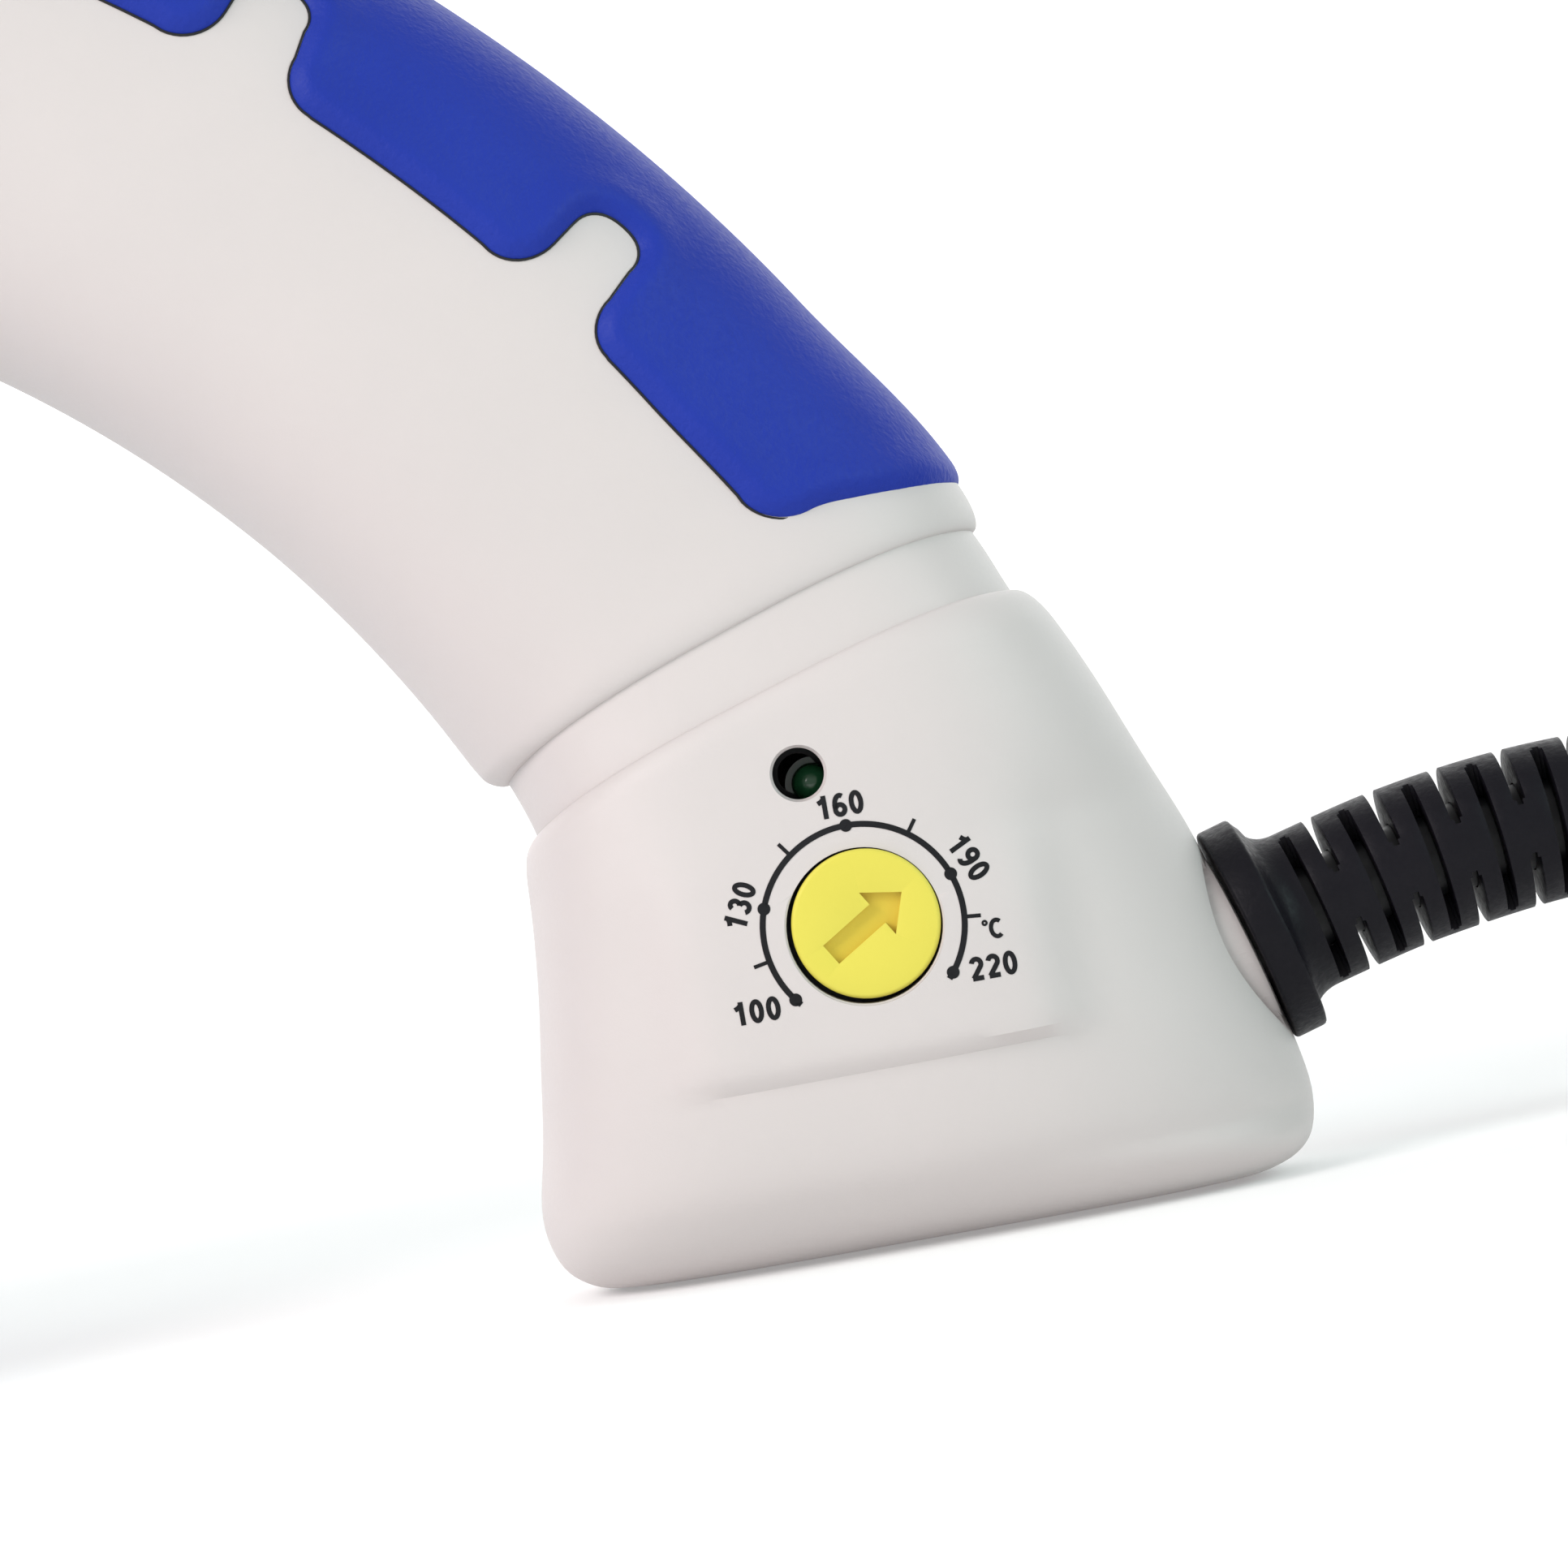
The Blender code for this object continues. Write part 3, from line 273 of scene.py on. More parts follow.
def rounded_block(name, low, high, radius, mat, segments=6):
    bm = bmesh.new()
    bmesh.ops.create_cube(bm, size=1.0)
    low, high = Vector(low), Vector(high)
    bmesh.ops.scale(bm, verts=bm.verts, vec=high - low)
    bmesh.ops.translate(bm, verts=bm.verts, vec=(low + high) / 2)
    if radius > 0:
        bmesh.ops.bevel(bm, geom=list(bm.edges), offset=radius, segments=segments, profile=0.5,
                        affect="EDGES")
    bmesh.ops.scale(bm, verts=bm.verts, vec=(MM, MM, MM))
    bmesh.ops.recalc_face_normals(bm, faces=bm.faces)
    mesh = bpy.data.meshes.new(name)
    bm.to_mesh(mesh)
    bm.free()
    obj = bpy.data.objects.new(name, mesh)
    bpy.context.scene.collection.objects.link(obj)
    mesh.materials.append(MATS[mat])
    shade(obj)
    return obj


def prism(name, outline, y0, y1, mat):
    """An (x, z) outline drawn out from y0 to y1."""
    count = len(outline)
    points = [(x, y0, z) for x, z in outline] + [(x, y1, z) for x, z in outline]
    faces = [list(range(count)), list(range(2 * count - 1, count - 1, -1))]
    faces += [[i, (i + 1) % count, count + (i + 1) % count, count + i] for i in range(count)]
    return outward(mesh_object(name, points, faces, mat))


def bevelled(obj, width, segments=3, angle=30.0):
    mod = obj.modifiers.new("bevel", "BEVEL")
    mod.width = width * MM
    mod.segments = segments
    mod.limit_method = "ANGLE"
    mod.angle_limit = math.radians(angle)
    mod.use_clamp_overlap = True
    return bake(obj)


def bake(obj, sharp=35.0):
    """Replace an object's mesh by what its modifiers make of it."""
    bpy.context.view_layer.update()
    graph = bpy.context.evaluated_depsgraph_get()
    mesh = bpy.data.meshes.new_from_object(obj.evaluated_get(graph), depsgraph=graph)
    old = obj.data
    obj.modifiers.clear()
    obj.data = mesh
    bpy.data.meshes.remove(old)
    shade(obj, sharp)
    return obj


def combine(obj, tools, operation="DIFFERENCE", sharp=35.0, solver="MANIFOLD"):
    """Boolean each tool into the object, then drop the tools."""
    for tool in tools:
        mod = obj.modifiers.new(tool.name, "BOOLEAN")
        mod.operation = operation
        mod.solver = solver
        mod.object = tool
        if solver == "EXACT":
            mod.material_mode = "TRANSFER"
    bake(obj, sharp)
    for tool in tools:
        bpy.data.objects.remove(tool, do_unlink=True)
    return obj


def catmull_rom(p0, p1, p2, p3, t):
    """The point at t, from 0 to 1, between p1 and p2."""
    return 0.5 * (2 * p1 + (p2 - p0) * t + (2 * p0 - 5 * p1 + 4 * p2 - p3) * t * t
                  + (3 * p1 - p0 - 3 * p2 + p3) * t ** 3)


def lengths_along(points):
    """Distance of each point along the line through them all."""
    return np.concatenate([[0.0], np.cumsum([(b - a).length for a, b in zip(points, points[1:])])])


def point_at(along, lengths, coords):
    return Vector([float(np.interp(along, lengths, coords[:, k])) for k in range(3)])


def smooth_route(points, count):
    """Points read evenly from a Catmull-Rom curve through the route's own points."""
    points = [Vector(p) for p in points]
    ends = [2 * points[0] - points[1]] + points + [2 * points[-1] - points[-2]]
    fine = []
    for index in range(1, len(ends) - 2):
        p0, p1, p2, p3 = ends[index - 1:index + 3]
        for step in range(20):
            fine.append(catmull_rom(p0, p1, p2, p3, step / 20))
    fine.append(points[-1])
    lengths = lengths_along(fine)
    coords = np.array([tuple(p) for p in fine])
    return [point_at(along, lengths, coords) for along in np.linspace(0.0, lengths[-1], count)]


# ---------------------------------------------------------------- casing

def smoothstep(x):
    x = np.clip(x, 0.0, 1.0)
    return x * x * (3 - 2 * x)


def on_arc(radius, degrees):
    turn = math.radians(degrees)
    return ARC_X + radius * math.sin(turn), ARC_Z + radius * math.cos(turn)


def outer_radius(degrees):
    """The handle's back edge: flared at the neck, a little lower towards the barrel."""
    return R_OUTER + 1.1 * smoothstep((degrees - 57.5) / 6.5) - np.clip(0.02 * (65.0 - degrees), 0.0, 0.42)


# Sections of the smooth envelope from the heel's floor: front, back, half width, power, arch
HEEL_KEYS = [
    (-24.2, 0.0, 24.6, 0.0, 7.0, 3.0, 0.0),
    (-26.9, 0.5, 27.4, 0.4, 10.2, 3.1, 0.0),
    (-29.0, 2.1, 29.9, 1.6, 13.8, 3.3, 0.0),
    (-30.0, 4.6, 31.2, 3.6, 17.2, 3.4, 0.0),
    (-30.1, 7.6, 31.5, 6.8, 19.6, 3.4, 0.0),
    (-29.1, 12.6, 30.3, 12.6, 20.6, 3.4, 0.0),
    (-28.2, 18.6, 28.0, 20.0, 20.65, 3.4, 0.0),
    (-27.4, 24.0, 25.6, 27.9, 20.4, 3.4, 0.4),
    (-26.9, 29.0, 22.8, 34.8, 20.2, 3.3, 1.0),
    (-26.7, 33.0, 19.7, 42.3, 19.6, 3.1, 1.8),
    (-26.6, 35.5, 16.5, 48.9, 19.0, 2.9, 2.1),
    (-28.2, 40.3, 14.2, 54.4, 18.2, 2.6, 2.1),
]
HEEL_LINE, NECK_LINE = 10, 11
BARREL_KEYS = [
    (-84.0, 92.0, -69.0, 132.1, 18.4, 2.5, 0.0),
    (-92.0, 92.9, -82.0, 136.2, 19.8, 2.7, 0.0),
    (-100.0, 93.0, -94.5, 139.4, 22.2, 2.9, 0.0),
    (-108.0, 93.0, -106.0, 141.2, 24.4, 3.1, 0.0),
    (-117.0, 93.0, -116.5, 142.0, 25.6, 3.3, 0.0),
    (-130.0, 93.0, -130.0, 142.0, 26.0, 3.4, 0.0),
    (-160.0, 93.0, -160.0, 142.0, 26.0, 3.4, 0.0),
    (-190.0, 93.0, -190.0, 142.0, 26.0, 3.4, 0.0),
]


def handle_key(degrees):
    curl = max((degrees - 50.0) / 12.0, 0.0)
    front = on_arc(R_INNER - 0.3 * curl, degrees)
    back = on_arc(float(outer_radius(degrees)), degrees)
    return (*front, *back, HANDLE_HALF_WIDTH, HANDLE_POWER, 2.0 * min(curl, 1.05))


def envelope_keys():
    handle = [handle_key(62.6 - 3.0 * step) for step in range(14)]
    return np.array(HEEL_KEYS + handle + BARREL_KEYS)


KEYS = envelope_keys()


def envelope(t):
    """Section values at a place t between the key sections, by a Catmull-Rom curve."""
    index = int(min(max(math.floor(t), 0), len(KEYS) - 2))
    u = t - index
    p1, p2 = KEYS[index], KEYS[index + 1]
    p0 = KEYS[index - 1] if index > 0 else 2 * p1 - p2
    p3 = KEYS[index + 2] if index + 2 < len(KEYS) else 2 * p2 - p1
    return catmull_rom(p0, p1, p2, p3, u)


BAND_DEPTH, HEEL_ROUND, LIP_ROUND = 1.0, 2.2, 3.2


def groove_inset(below_heel_line, above_neck_line):
    """How far the surface lies inside the envelope: rounded shoulders on both sides of a sunk band."""
    if below_heel_line >= 0:
        reach = max(1.0 - below_heel_line / HEEL_ROUND, 0.0)
        return 0.75 * BAND_DEPTH * (1.0 - math.sqrt(max(1.0 - reach * reach, 0.0)))
    if above_neck_line >= 0:
        reach = max(1.0 - above_neck_line / LIP_ROUND, 0.0)
        return BAND_DEPTH * (1.0 - math.sqrt(max(1.0 - reach * reach, 0.0)))
    return BAND_DEPTH


def casing_rows():
    """(place, inset) of every row: close together at the groove and round the heel's lower edge."""
    def length(index):
        a, b = KEYS[index], KEYS[index + 1]
        return float(np.hypot((b[0] + b[2] - a[0] - a[2]) / 2, (b[1] + b[3] - a[1] - a[3]) / 2))

    rows = []
    for index in range(HEEL_LINE - 1):
        steps = 5 if index < 5 else 7
        rows += [(index + step / steps, 0.0) for step in range(steps)]
    span = length(HEEL_LINE - 1)
    for below in (6.0, 5.0, 4.0, 3.2, 2.6, 2.2, 1.8, 1.4, 1.0, 0.7, 0.45, 0.25, 0.12, 0.04, 0.0):
        if below < span:
            rows.append((HEEL_LINE - below / span, groove_inset(below, -1)))
    rows += [(HEEL_LINE + step, BAND_DEPTH) for step in (0.015, 0.1, 0.3, 0.5, 0.7, 0.9, 0.985)]
    span = length(NECK_LINE)
    for above in (0.0, 0.04, 0.12, 0.25, 0.45, 0.7, 1.0, 1.4, 1.8, 2.3, 2.8, 3.2, 3.8):
        rows.append((NECK_LINE + above / span, groove_inset(-1, above)))
    start = NECK_LINE + 4.4 / span
    rows += [(start + (NECK_LINE + 2 - start) * step / 6, 0.0) for step in range(6)]
    for index in range(NECK_LINE + 2, len(KEYS) - 1):
        rows += [(index + step / 6, 0.0) for step in range(6)]
    return sorted(set(rows + [(float(len(KEYS) - 1), 0.0)]))


def back_power(bz, power):
    """The heel is rounder on the cord's side than in front; higher up both sides are alike."""
    part = np.clip((bz - 1.0) / 4.0, 0.0, 1.0) * np.clip((46.0 - bz) / 14.0, 0.0, 1.0)
    return power + (HEEL_BACK_POWER - power) * part


def section(values, inset, side, turns):
    """Half an outline of one section, from the back edge round the flank to the front edge."""
    fx, fz, bx, bz, half_width, power, arch = values
    front, back = np.array([fx, 0, fz]), np.array([bx, 0, bz])
    centre, across = (front + back) / 2, (back - front) / 2
    half = np.linalg.norm(across)
    across = across / half
    inset = inset * (1 + 0.45 * smoothstep((np.abs(np.cos(turns)) - 0.6) / 0.4))[:, None]
    along = np.array([-across[2], 0, across[0]])
    cos, sin = np.cos(turns), np.clip(np.sin(turns), 0, 1)
    bend = np.where(cos > 0, back_power(bz, power), power)
    reach = np.sign(cos) * np.abs(cos) ** (2 / bend)
    bulge = sin ** (2 / bend)
    points = centre + (half - inset) * np.outer(reach, across) + np.outer(arch * bulge * bulge, along)
    points[:, 1] = side * (SPLIT + (half_width - inset[:, 0]) * bulge)
    return points


def raise_panel(points, side):
    """The dial's panel: a slightly raised field that ends below in a soft crease."""
    if side > 0:
        return points
    x, z = points[:, 0], points[:, 2]
    lower = smoothstep((z - 14.3) / 1.5)
    upper = 1 - smoothstep((z - 24.0) / 13.0)
    sides = 1 - smoothstep((np.abs(x + 1.85) - 12.5) / 5.0)
    flank = smoothstep((np.abs(points[:, 1]) - 12.0) / 4.0)
    points[:, 1] -= (1.15 + 0.35 * smoothstep((x - 1.0) / 12.0)) * lower * upper * sides * flank
    return points


def boot_axis():
    tilt = math.radians(BOOT_TILT_DEG)
    return Vector((math.cos(tilt), 0, math.sin(tilt)))


def half_shell(name, side):
    even = np.linspace(0, 1, 65)
    turns = np.pi * (0.5 - 0.5 * np.cos(np.pi * even)) * 0.35 + np.pi * even * 0.65
    columns = len(turns) - 1
    rows = casing_rows()
    outer = [raise_panel(section(envelope(t), inset, side, turns), side) for t, inset in rows]
    inner = []
    for index, (t, _) in enumerate(rows):
        values = envelope(t).copy()
        floor = WALL + 0.02 * index
        values[1], values[3] = max(values[1], floor), max(values[3], floor)
        inner.append(section(values, WALL, side, turns))
    points = np.concatenate(outer + inner)
    width, count = columns + 1, len(rows)
    base = width * count
    faces = []
    for start in (0, base):
        for row in range(count - 1):
            for column in range(columns):
                a = start + row * width + column
                faces.append((a, a + 1, a + 1 + width, a + width))
        faces.append(list(range(start, start + width)))
    for edge in (0, columns):
        for row in range(count - 1):
            a, b = row * width + edge, (row + 1) * width + edge
            faces.append((a, b, base + b, base + a))
    faces.append((0, columns, base + columns, base))
    last = (count - 1) * width
    for column in range(columns):
        faces.append((last + column, last + column + 1, base + last + column + 1, base + last + column))
    return outward(mesh_object(name, points, faces, "casing"))


def rounded_hole(name, x, z, radius, depth, face_y, edge, y_in):
    """Cutter for a hole from -Y whose outer edge is rounded off at the face."""
    profile = [(0, y_in), (radius, y_in), (radius, face_y + edge)]
    for step in range(1, 7):
        turn = math.pi / 2 * step / 6
        profile.append((radius + edge * (1 - math.cos(turn)), face_y + edge * (1 - math.sin(turn))))
    profile += [(radius + edge, face_y - depth), (0, face_y - depth)]
    return turned(name, profile, (x, 0, z), ALONG_Y, "casing", 72)


def shell_posts(name, side):
    """The cord's boss, the screw posts and the trigger's pivot boss inside one half of the casing."""
    profile = [(0, -7), (BOSS_R, -7), (BOSS_R, -0.5), (BOSS_R - 0.15, -0.15), (BOSS_R - 0.5, 0), (0, 0)]
    boss = turned(f"boss_{name}", profile, BOSS_END, boot_axis(), "casing", 96)
    low_y, high_y = (SPLIT, 40) if side > 0 else (-40, -SPLIT)
    keep = rounded_block(f"boss_side_{name}", (0, low_y, -10), (60, high_y, 60), 0.0, "casing")
    combine(boss, [keep], "INTERSECT")
    posts = [rod(f"post_{name}_{index}", (x, 0, z), ALONG_Y, POST_R, 0.3 * side, reach * side, "casing", 40)
             for index, (x, z, reach) in enumerate(SCREW_PLACES)]
    pivot = rod(f"post_{name}_pivot", TRIGGER_PIVOT, ALONG_Y, 3.0, 6.8 * side, 13.2 * side, "casing", 40)
    return [boss, *posts, pivot]


def shell_cutters(name, side):
    """Everything that is cut out of one half of the casing."""
    tools = [rod(f"cord_hole_{name}", BOSS_END, boot_axis(), CORD_R + 0.6, -12, 3, "casing", 48),
             rod(f"pivot_hole_{name}", TRIGGER_PIVOT, ALONG_Y, TRIGGER_BORE_R, -11, 11, "casing", 32),
             rounded_block(f"slot_{name}", (-94.2, -7.0, 78.0), (-70.0, 7.0, 97.0), 0.0, "casing"),
             rod(f"spout_{name}", (SUCTION_X, 0, 85), ALONG_Z, SPOUT_R, 0, 12, "casing", 48)]
    if side > 0:
        well = [(0, -1), (SCREW_R, -1), (SCREW_R, 6.0), (WELL_R, 6.0), (WELL_R, 30), (0, 30)]
        return tools + [turned(f"screw_well_{index}", well, (x, 0, z), ALONG_Y, "casing", 40)
                        for index, (x, z, _) in enumerate(SCREW_PLACES)]
    tools.append(rounded_hole("knob_hole", DIAL_X - 0.14, DIAL_Z - 0.12, KNOB_HOLE_R, 8, -21.25, 0.15, -12))
    tools.append(rounded_hole("led_hole", LED_X, LED_Z, LED_HOLE_R, 8, -18.6, 0.2, -10))
    ring = [(BOSS_R, -4.3), (BOSS_R + 0.85, -4.3), (BOSS_R + 0.85, 3), (BOSS_R, 3)]
    groove = turned("boss_groove", ring + ring[:1], BOSS_END, boot_axis(), "casing", 96)
    combine(groove, [rounded_block("groove_side", (0, -40, 0), (60, -4.5, 60), 0.0, "casing")], "INTERSECT")
    return tools + [groove] + [rod(f"screw_hole_{index}", (x, 0, z), ALONG_Y, SCREW_R, 1, -10, "casing", 32)
                               for index, (x, z, _) in enumerate(SCREW_PLACES)]


def casing():
    shells = []
    for side, name in ((-1, "shell_dial_side"), (1, "shell_far_side")):
        shell = half_shell(f"{name}_fine", side)
        combine(shell, shell_posts(name, side), "UNION")
        combine(shell, shell_cutters(name, side))
        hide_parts(name)
        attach(shell, "casing")
        shells.append(shell)
    return shells


def surface_finder(objects):
    """The casing's outer skin as one tree, for laying print and trim on it."""
    points, faces = [], []
    for obj in objects:
        base = len(points)
        points += [v.co.copy() for v in obj.data.vertices]
        faces += [[base + v for v in polygon.vertices] for polygon in obj.data.polygons]
    return BVHTree.FromPolygons(points, faces)


# ---------------------------------------------------------------- soft grip

PER_DEGREE = math.radians(1.0) * 138.0


def neck_end(radius):
    """Where the grip ends at the neck: it reaches further down at the spine than on the flanks."""
    return float(np.interp(radius, (135.5, 136.3, 137.2, 138.5, 140.0, 141.6, 143.3, 145.0, 147.0),
                           (63.75, 63.80, 63.92, 64.13, 64.35, 64.57, 64.75, 64.88, 64.97)))


def grip_outline():
    """The grip's half outline as (degrees, radius from the arc's centre), neck end to top end."""
    neck = np.arange(R_OUTER + 1.0, GRIP_LOBE_R + NECK_CORNER, -0.5)
    points = [(neck_end(float(radius)), float(radius)) for radius in neck]
    slot_edges = [centre + side * SLOT_HALF / PER_DEGREE for centre in SLOT_DEGREES for side in (1, -1)]
    edges = [neck_end(0.0)] + slot_edges + [GRIP_TOP_DEG]
    quarter = np.linspace(0, math.pi / 2, 12)
    for lobe in range(len(SLOT_DEGREES) + 1):
        start, stop = edges[2 * lobe], edges[2 * lobe + 1]
        low, lobe_r = stop + SLOT_LEAN_DEG, GRIP_LOBE_R + LOBE_STEPS[lobe]
        end_r = lobe_r + LOBE_SLOPE * (start - low)
        for turn in quarter:
            points.append((start - NECK_CORNER / PER_DEGREE * (1 - math.cos(turn)),
                           lobe_r + NECK_CORNER * (1 - math.sin(turn))))
        flat = np.arange(start - NECK_CORNER / PER_DEGREE - 0.3, low + TOP_CORNER / PER_DEGREE, -0.35)
        points += [(float(degrees), lobe_r + LOBE_SLOPE * (start - degrees)) for degrees in flat]
        for turn in quarter:
            points.append((low + TOP_CORNER / PER_DEGREE * (1 - math.sin(turn)),
                           end_r + TOP_CORNER * (1 - math.cos(turn))))
        if lobe < len(SLOT_DEGREES):
            centre, rise = SLOT_DEGREES[lobe], 0.8 * SLOT_HALF
            round_start = GRIP_SLOT_R - rise
            points += [(low + (stop - low) * k / 6,
                        end_r + TOP_CORNER + (round_start - end_r - TOP_CORNER) * k / 6)
                       for k in range(1, 7)]
            for step in range(1, 20):
                turn = math.pi * step / 20
                wide = math.copysign(abs(math.cos(turn)) ** 0.85, math.cos(turn))
                points.append((centre + SLOT_HALF / PER_DEGREE * wide,
                               round_start + rise * math.sin(turn) ** 0.85))
            next_corner = GRIP_LOBE_R + LOBE_STEPS[lobe + 1] + NECK_CORNER
            points += [(centre - SLOT_HALF / PER_DEGREE, float(radius))
                       for radius in np.linspace(round_start, next_corner, 7)[:-1]]
    for radius in np.arange(GRIP_LOBE_R + TOP_CORNER + 1, 145.5, 1.0):
        points.append((GRIP_TOP_DEG, float(radius)))
    points.append((GRIP_TOP_DEG, R_OUTER + 1.0))
    return points


def girth_table():
    """Distance round the handle from its back edge, against the section's turn."""
    turns = np.linspace(0, math.pi / 2, 2000)
    half = (R_OUTER - R_INNER) / 2
    x = half * np.cos(turns) ** (2 / HANDLE_POWER)
    y = HANDLE_HALF_WIDTH * np.sin(turns) ** (2 / HANDLE_POWER)
    return turns, np.concatenate([[0.0], np.cumsum(np.hypot(np.diff(x), np.diff(y)))])


TURNS, GIRTH = girth_table()


def grip_surface(u, v, height):
    """Points on the handle at u mm along it from the neck end and v mm round it, lifted by height."""
    degrees = GRIP_NECK_DEG - u / PER_DEGREE
    turn = np.interp(np.abs(v), GIRTH, TURNS)
    curl = np.clip((degrees - 50.0) / 12.0, 0.0, 1.2)
    arch = 2.0 * np.clip(curl, 0, 1.05)
    inner, outer = R_INNER - 0.3 * curl, outer_radius(degrees)
    half = (outer - inner) / 2 + height
    reach = np.cos(turn) ** (2 / HANDLE_POWER)
    bulge = np.sin(turn) ** (2 / HANDLE_POWER)
    radius = (outer + inner) / 2 + half * reach
    a = np.radians(degrees)
    x = ARC_X + radius * np.sin(a) - np.cos(a) * arch * bulge ** 2
    z = ARC_Z + radius * np.cos(a) + np.sin(a) * arch * bulge ** 2
    y = np.sign(v) * (SPLIT * np.minimum(bulge * 9, 1) + (HANDLE_HALF_WIDTH + height) * bulge)
    return np.stack([x, y, z], axis=1)


def grip_edge():
    """The whole outline unrolled to (mm along the handle, mm round it), both flanks."""
    mid, half = (R_INNER + R_OUTER) / 2, (R_OUTER - R_INNER) / 2
    side = []
    for degrees, radius in grip_outline():
        u = (GRIP_NECK_DEG - degrees) * PER_DEGREE
        c = min(max((radius - mid) / half, 0.0), 1.0)
        side.append((u, float(np.interp(math.acos(c ** (HANDLE_POWER / 2)), TURNS, GIRTH))))
    loop = [p for p in side if p[1] > 0.4]
    return np.array(loop + [(u, -v) for u, v in reversed(loop)])


def even_ring(edge):
    """The closed outline with points dropped or added until they lie about 0.6 mm apart."""
    ring = [edge[0]]
    for point in edge[1:]:
        gap = np.hypot(*(point - ring[-1]))
        if gap < 0.25:
            continue
        pieces = max(int(gap / 0.6), 1)
        start = ring[-1]
        ring += [start + (point - start) * (i + 1) / pieces for i in range(pieces)]
    pieces = int(np.hypot(*(edge[0] - ring[-1])) / 0.6)
    ring += [ring[-1] + (edge[0] - ring[-1]) * i / pieces for i in range(1, pieces)]
    return np.array(ring)


def inward_of(ring):
    """The direction from each point of a closed outline into it."""
    following = np.roll(ring, -1, axis=0)
    tangent = following - np.roll(ring, 1, axis=0)
    inward = np.stack([-tangent[:, 1], tangent[:, 0]], axis=1)
    inward /= np.linalg.norm(inward, axis=1)[:, None]
    turned_left = np.sum(ring[:, 0] * following[:, 1] - following[:, 0] * ring[:, 1]) > 0
    return inward if turned_left else -inward


def distance_to(ring, points):
    """Distance of each point from a closed outline."""
    following = np.roll(ring, -1, axis=0)
    best = np.full(len(points), 1e9)
    for start in range(0, len(ring), 64):
        a, b = ring[start:start + 64], following[start:start + 64]
        d = b - a
        t = np.clip(((points[:, None] - a) * d).sum(2) / (d * d).sum(1), 0, 1)
        near = a + t[:, :, None] * d
        best = np.minimum(best, np.linalg.norm(points[:, None] - near, axis=2).min(1))
    return best


def grip_points(edge, ring, inward):
    """Flat points for the grip's mesh: rows that follow the edge, and a staggered grid between them."""
    inside = []
    for offset in (0.07, 0.18, 0.34, 0.56, 0.85, 1.2, 1.6, 2.1):
        shifted = ring + inward * offset
        inside.append(shifted[distance_to(ring, shifted) > 0.97 * offset])
    along = np.arange(0.9, edge[:, 0].max(), 0.9)
    across = np.arange(-edge[:, 1].max(), edge[:, 1].max(), 0.9)
    grid = np.array([(u, v + (0.45 if i % 2 else 0)) for i, u in enumerate(along) for v in across])
    inside.append(grid[distance_to(ring, grid) > 2.6])
    return np.concatenate([ring] + inside)


def grip_painted_shadow(ring, inward):
    """Painted shadow round the grip: a thin black strip, half sunk in the casing, standing for the shade in
    the gap at the grip's edge.
    """
    inner = ring - inward * 0.17
    strip = [grip_surface(*line.T, height)
             for line, height in ((ring, -0.05), (ring, 0.1), (inner, 0.09), (inner, -0.05))]
    count, faces = len(ring), []
    for a in range(count):
        b = (a + 1) % count
        faces += [(k * count + a, k * count + b, (k + 1) % 4 * count + b, (k + 1) % 4 * count + a)
                  for k in range(4)]
    line = outward(mesh_object("grip_painted_shadow_line", np.concatenate(strip), faces, "black", 60))
    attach(line, "casing")


def soft_grip():
    edge = grip_edge()
    ring = even_ring(edge)
    inward = inward_of(ring)
    borders = [(i, (i + 1) % len(ring)) for i in range(len(ring))]
    flat_points, _, triangles, *_ = delaunay_2d_cdt([Vector(p) for p in grip_points(edge, ring, inward)],
                                                    borders, [],
                                                    1, 1e-5)
    flat = np.array([tuple(p) for p in flat_points])
    depth = distance_to(ring, flat)
    lift = 1 - np.clip(depth / EDGE_ROLL, 0, 1)
    bead = smoothstep(depth / 1.3) * (1 - smoothstep((depth - 1.5) / 3.0)) * EDGE_BEAD
    bead = bead * smoothstep((np.abs(flat[:, 1]) - 4.0) / 8.0)
    height = (GRIP_PROUD + bead) * np.sqrt(np.clip(1 - lift ** 2.0, 0, 1)) - GRIP_SUNK
    top = grip_surface(flat[:, 0], flat[:, 1], height)
    bottom = grip_surface(flat[:, 0], flat[:, 1], np.full(len(flat), -GRIP_SUNK))
    on_edge = depth < 1e-4
    index = np.where(on_edge, np.arange(len(flat)), np.arange(len(flat)) + len(flat))
    faces = [tuple(t) for t in triangles]
    faces += [tuple(int(index[v]) for v in reversed(t)) for t in triangles
              if not all(on_edge[v] for v in t)]
    grip = outward(mesh_object("soft_grip_fine", np.concatenate([top, bottom]), faces, "grip", 60))
    # A black strip round the grip's edge: painted shadow of the gap between grip and casing.
    grip_painted_shadow(ring, inward)
    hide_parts("soft_grip")
    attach(grip, "casing")


# ---------------------------------------------------------------- dial

def turned_about_y(points, degrees):
    """(u, v) points, v up, turned clockwise as seen from the dial's side."""
    turn = math.radians(degrees)
    return [(u * math.cos(turn) + v * math.sin(turn), -u * math.sin(turn) + v * math.cos(turn)) for u,
            v in points]


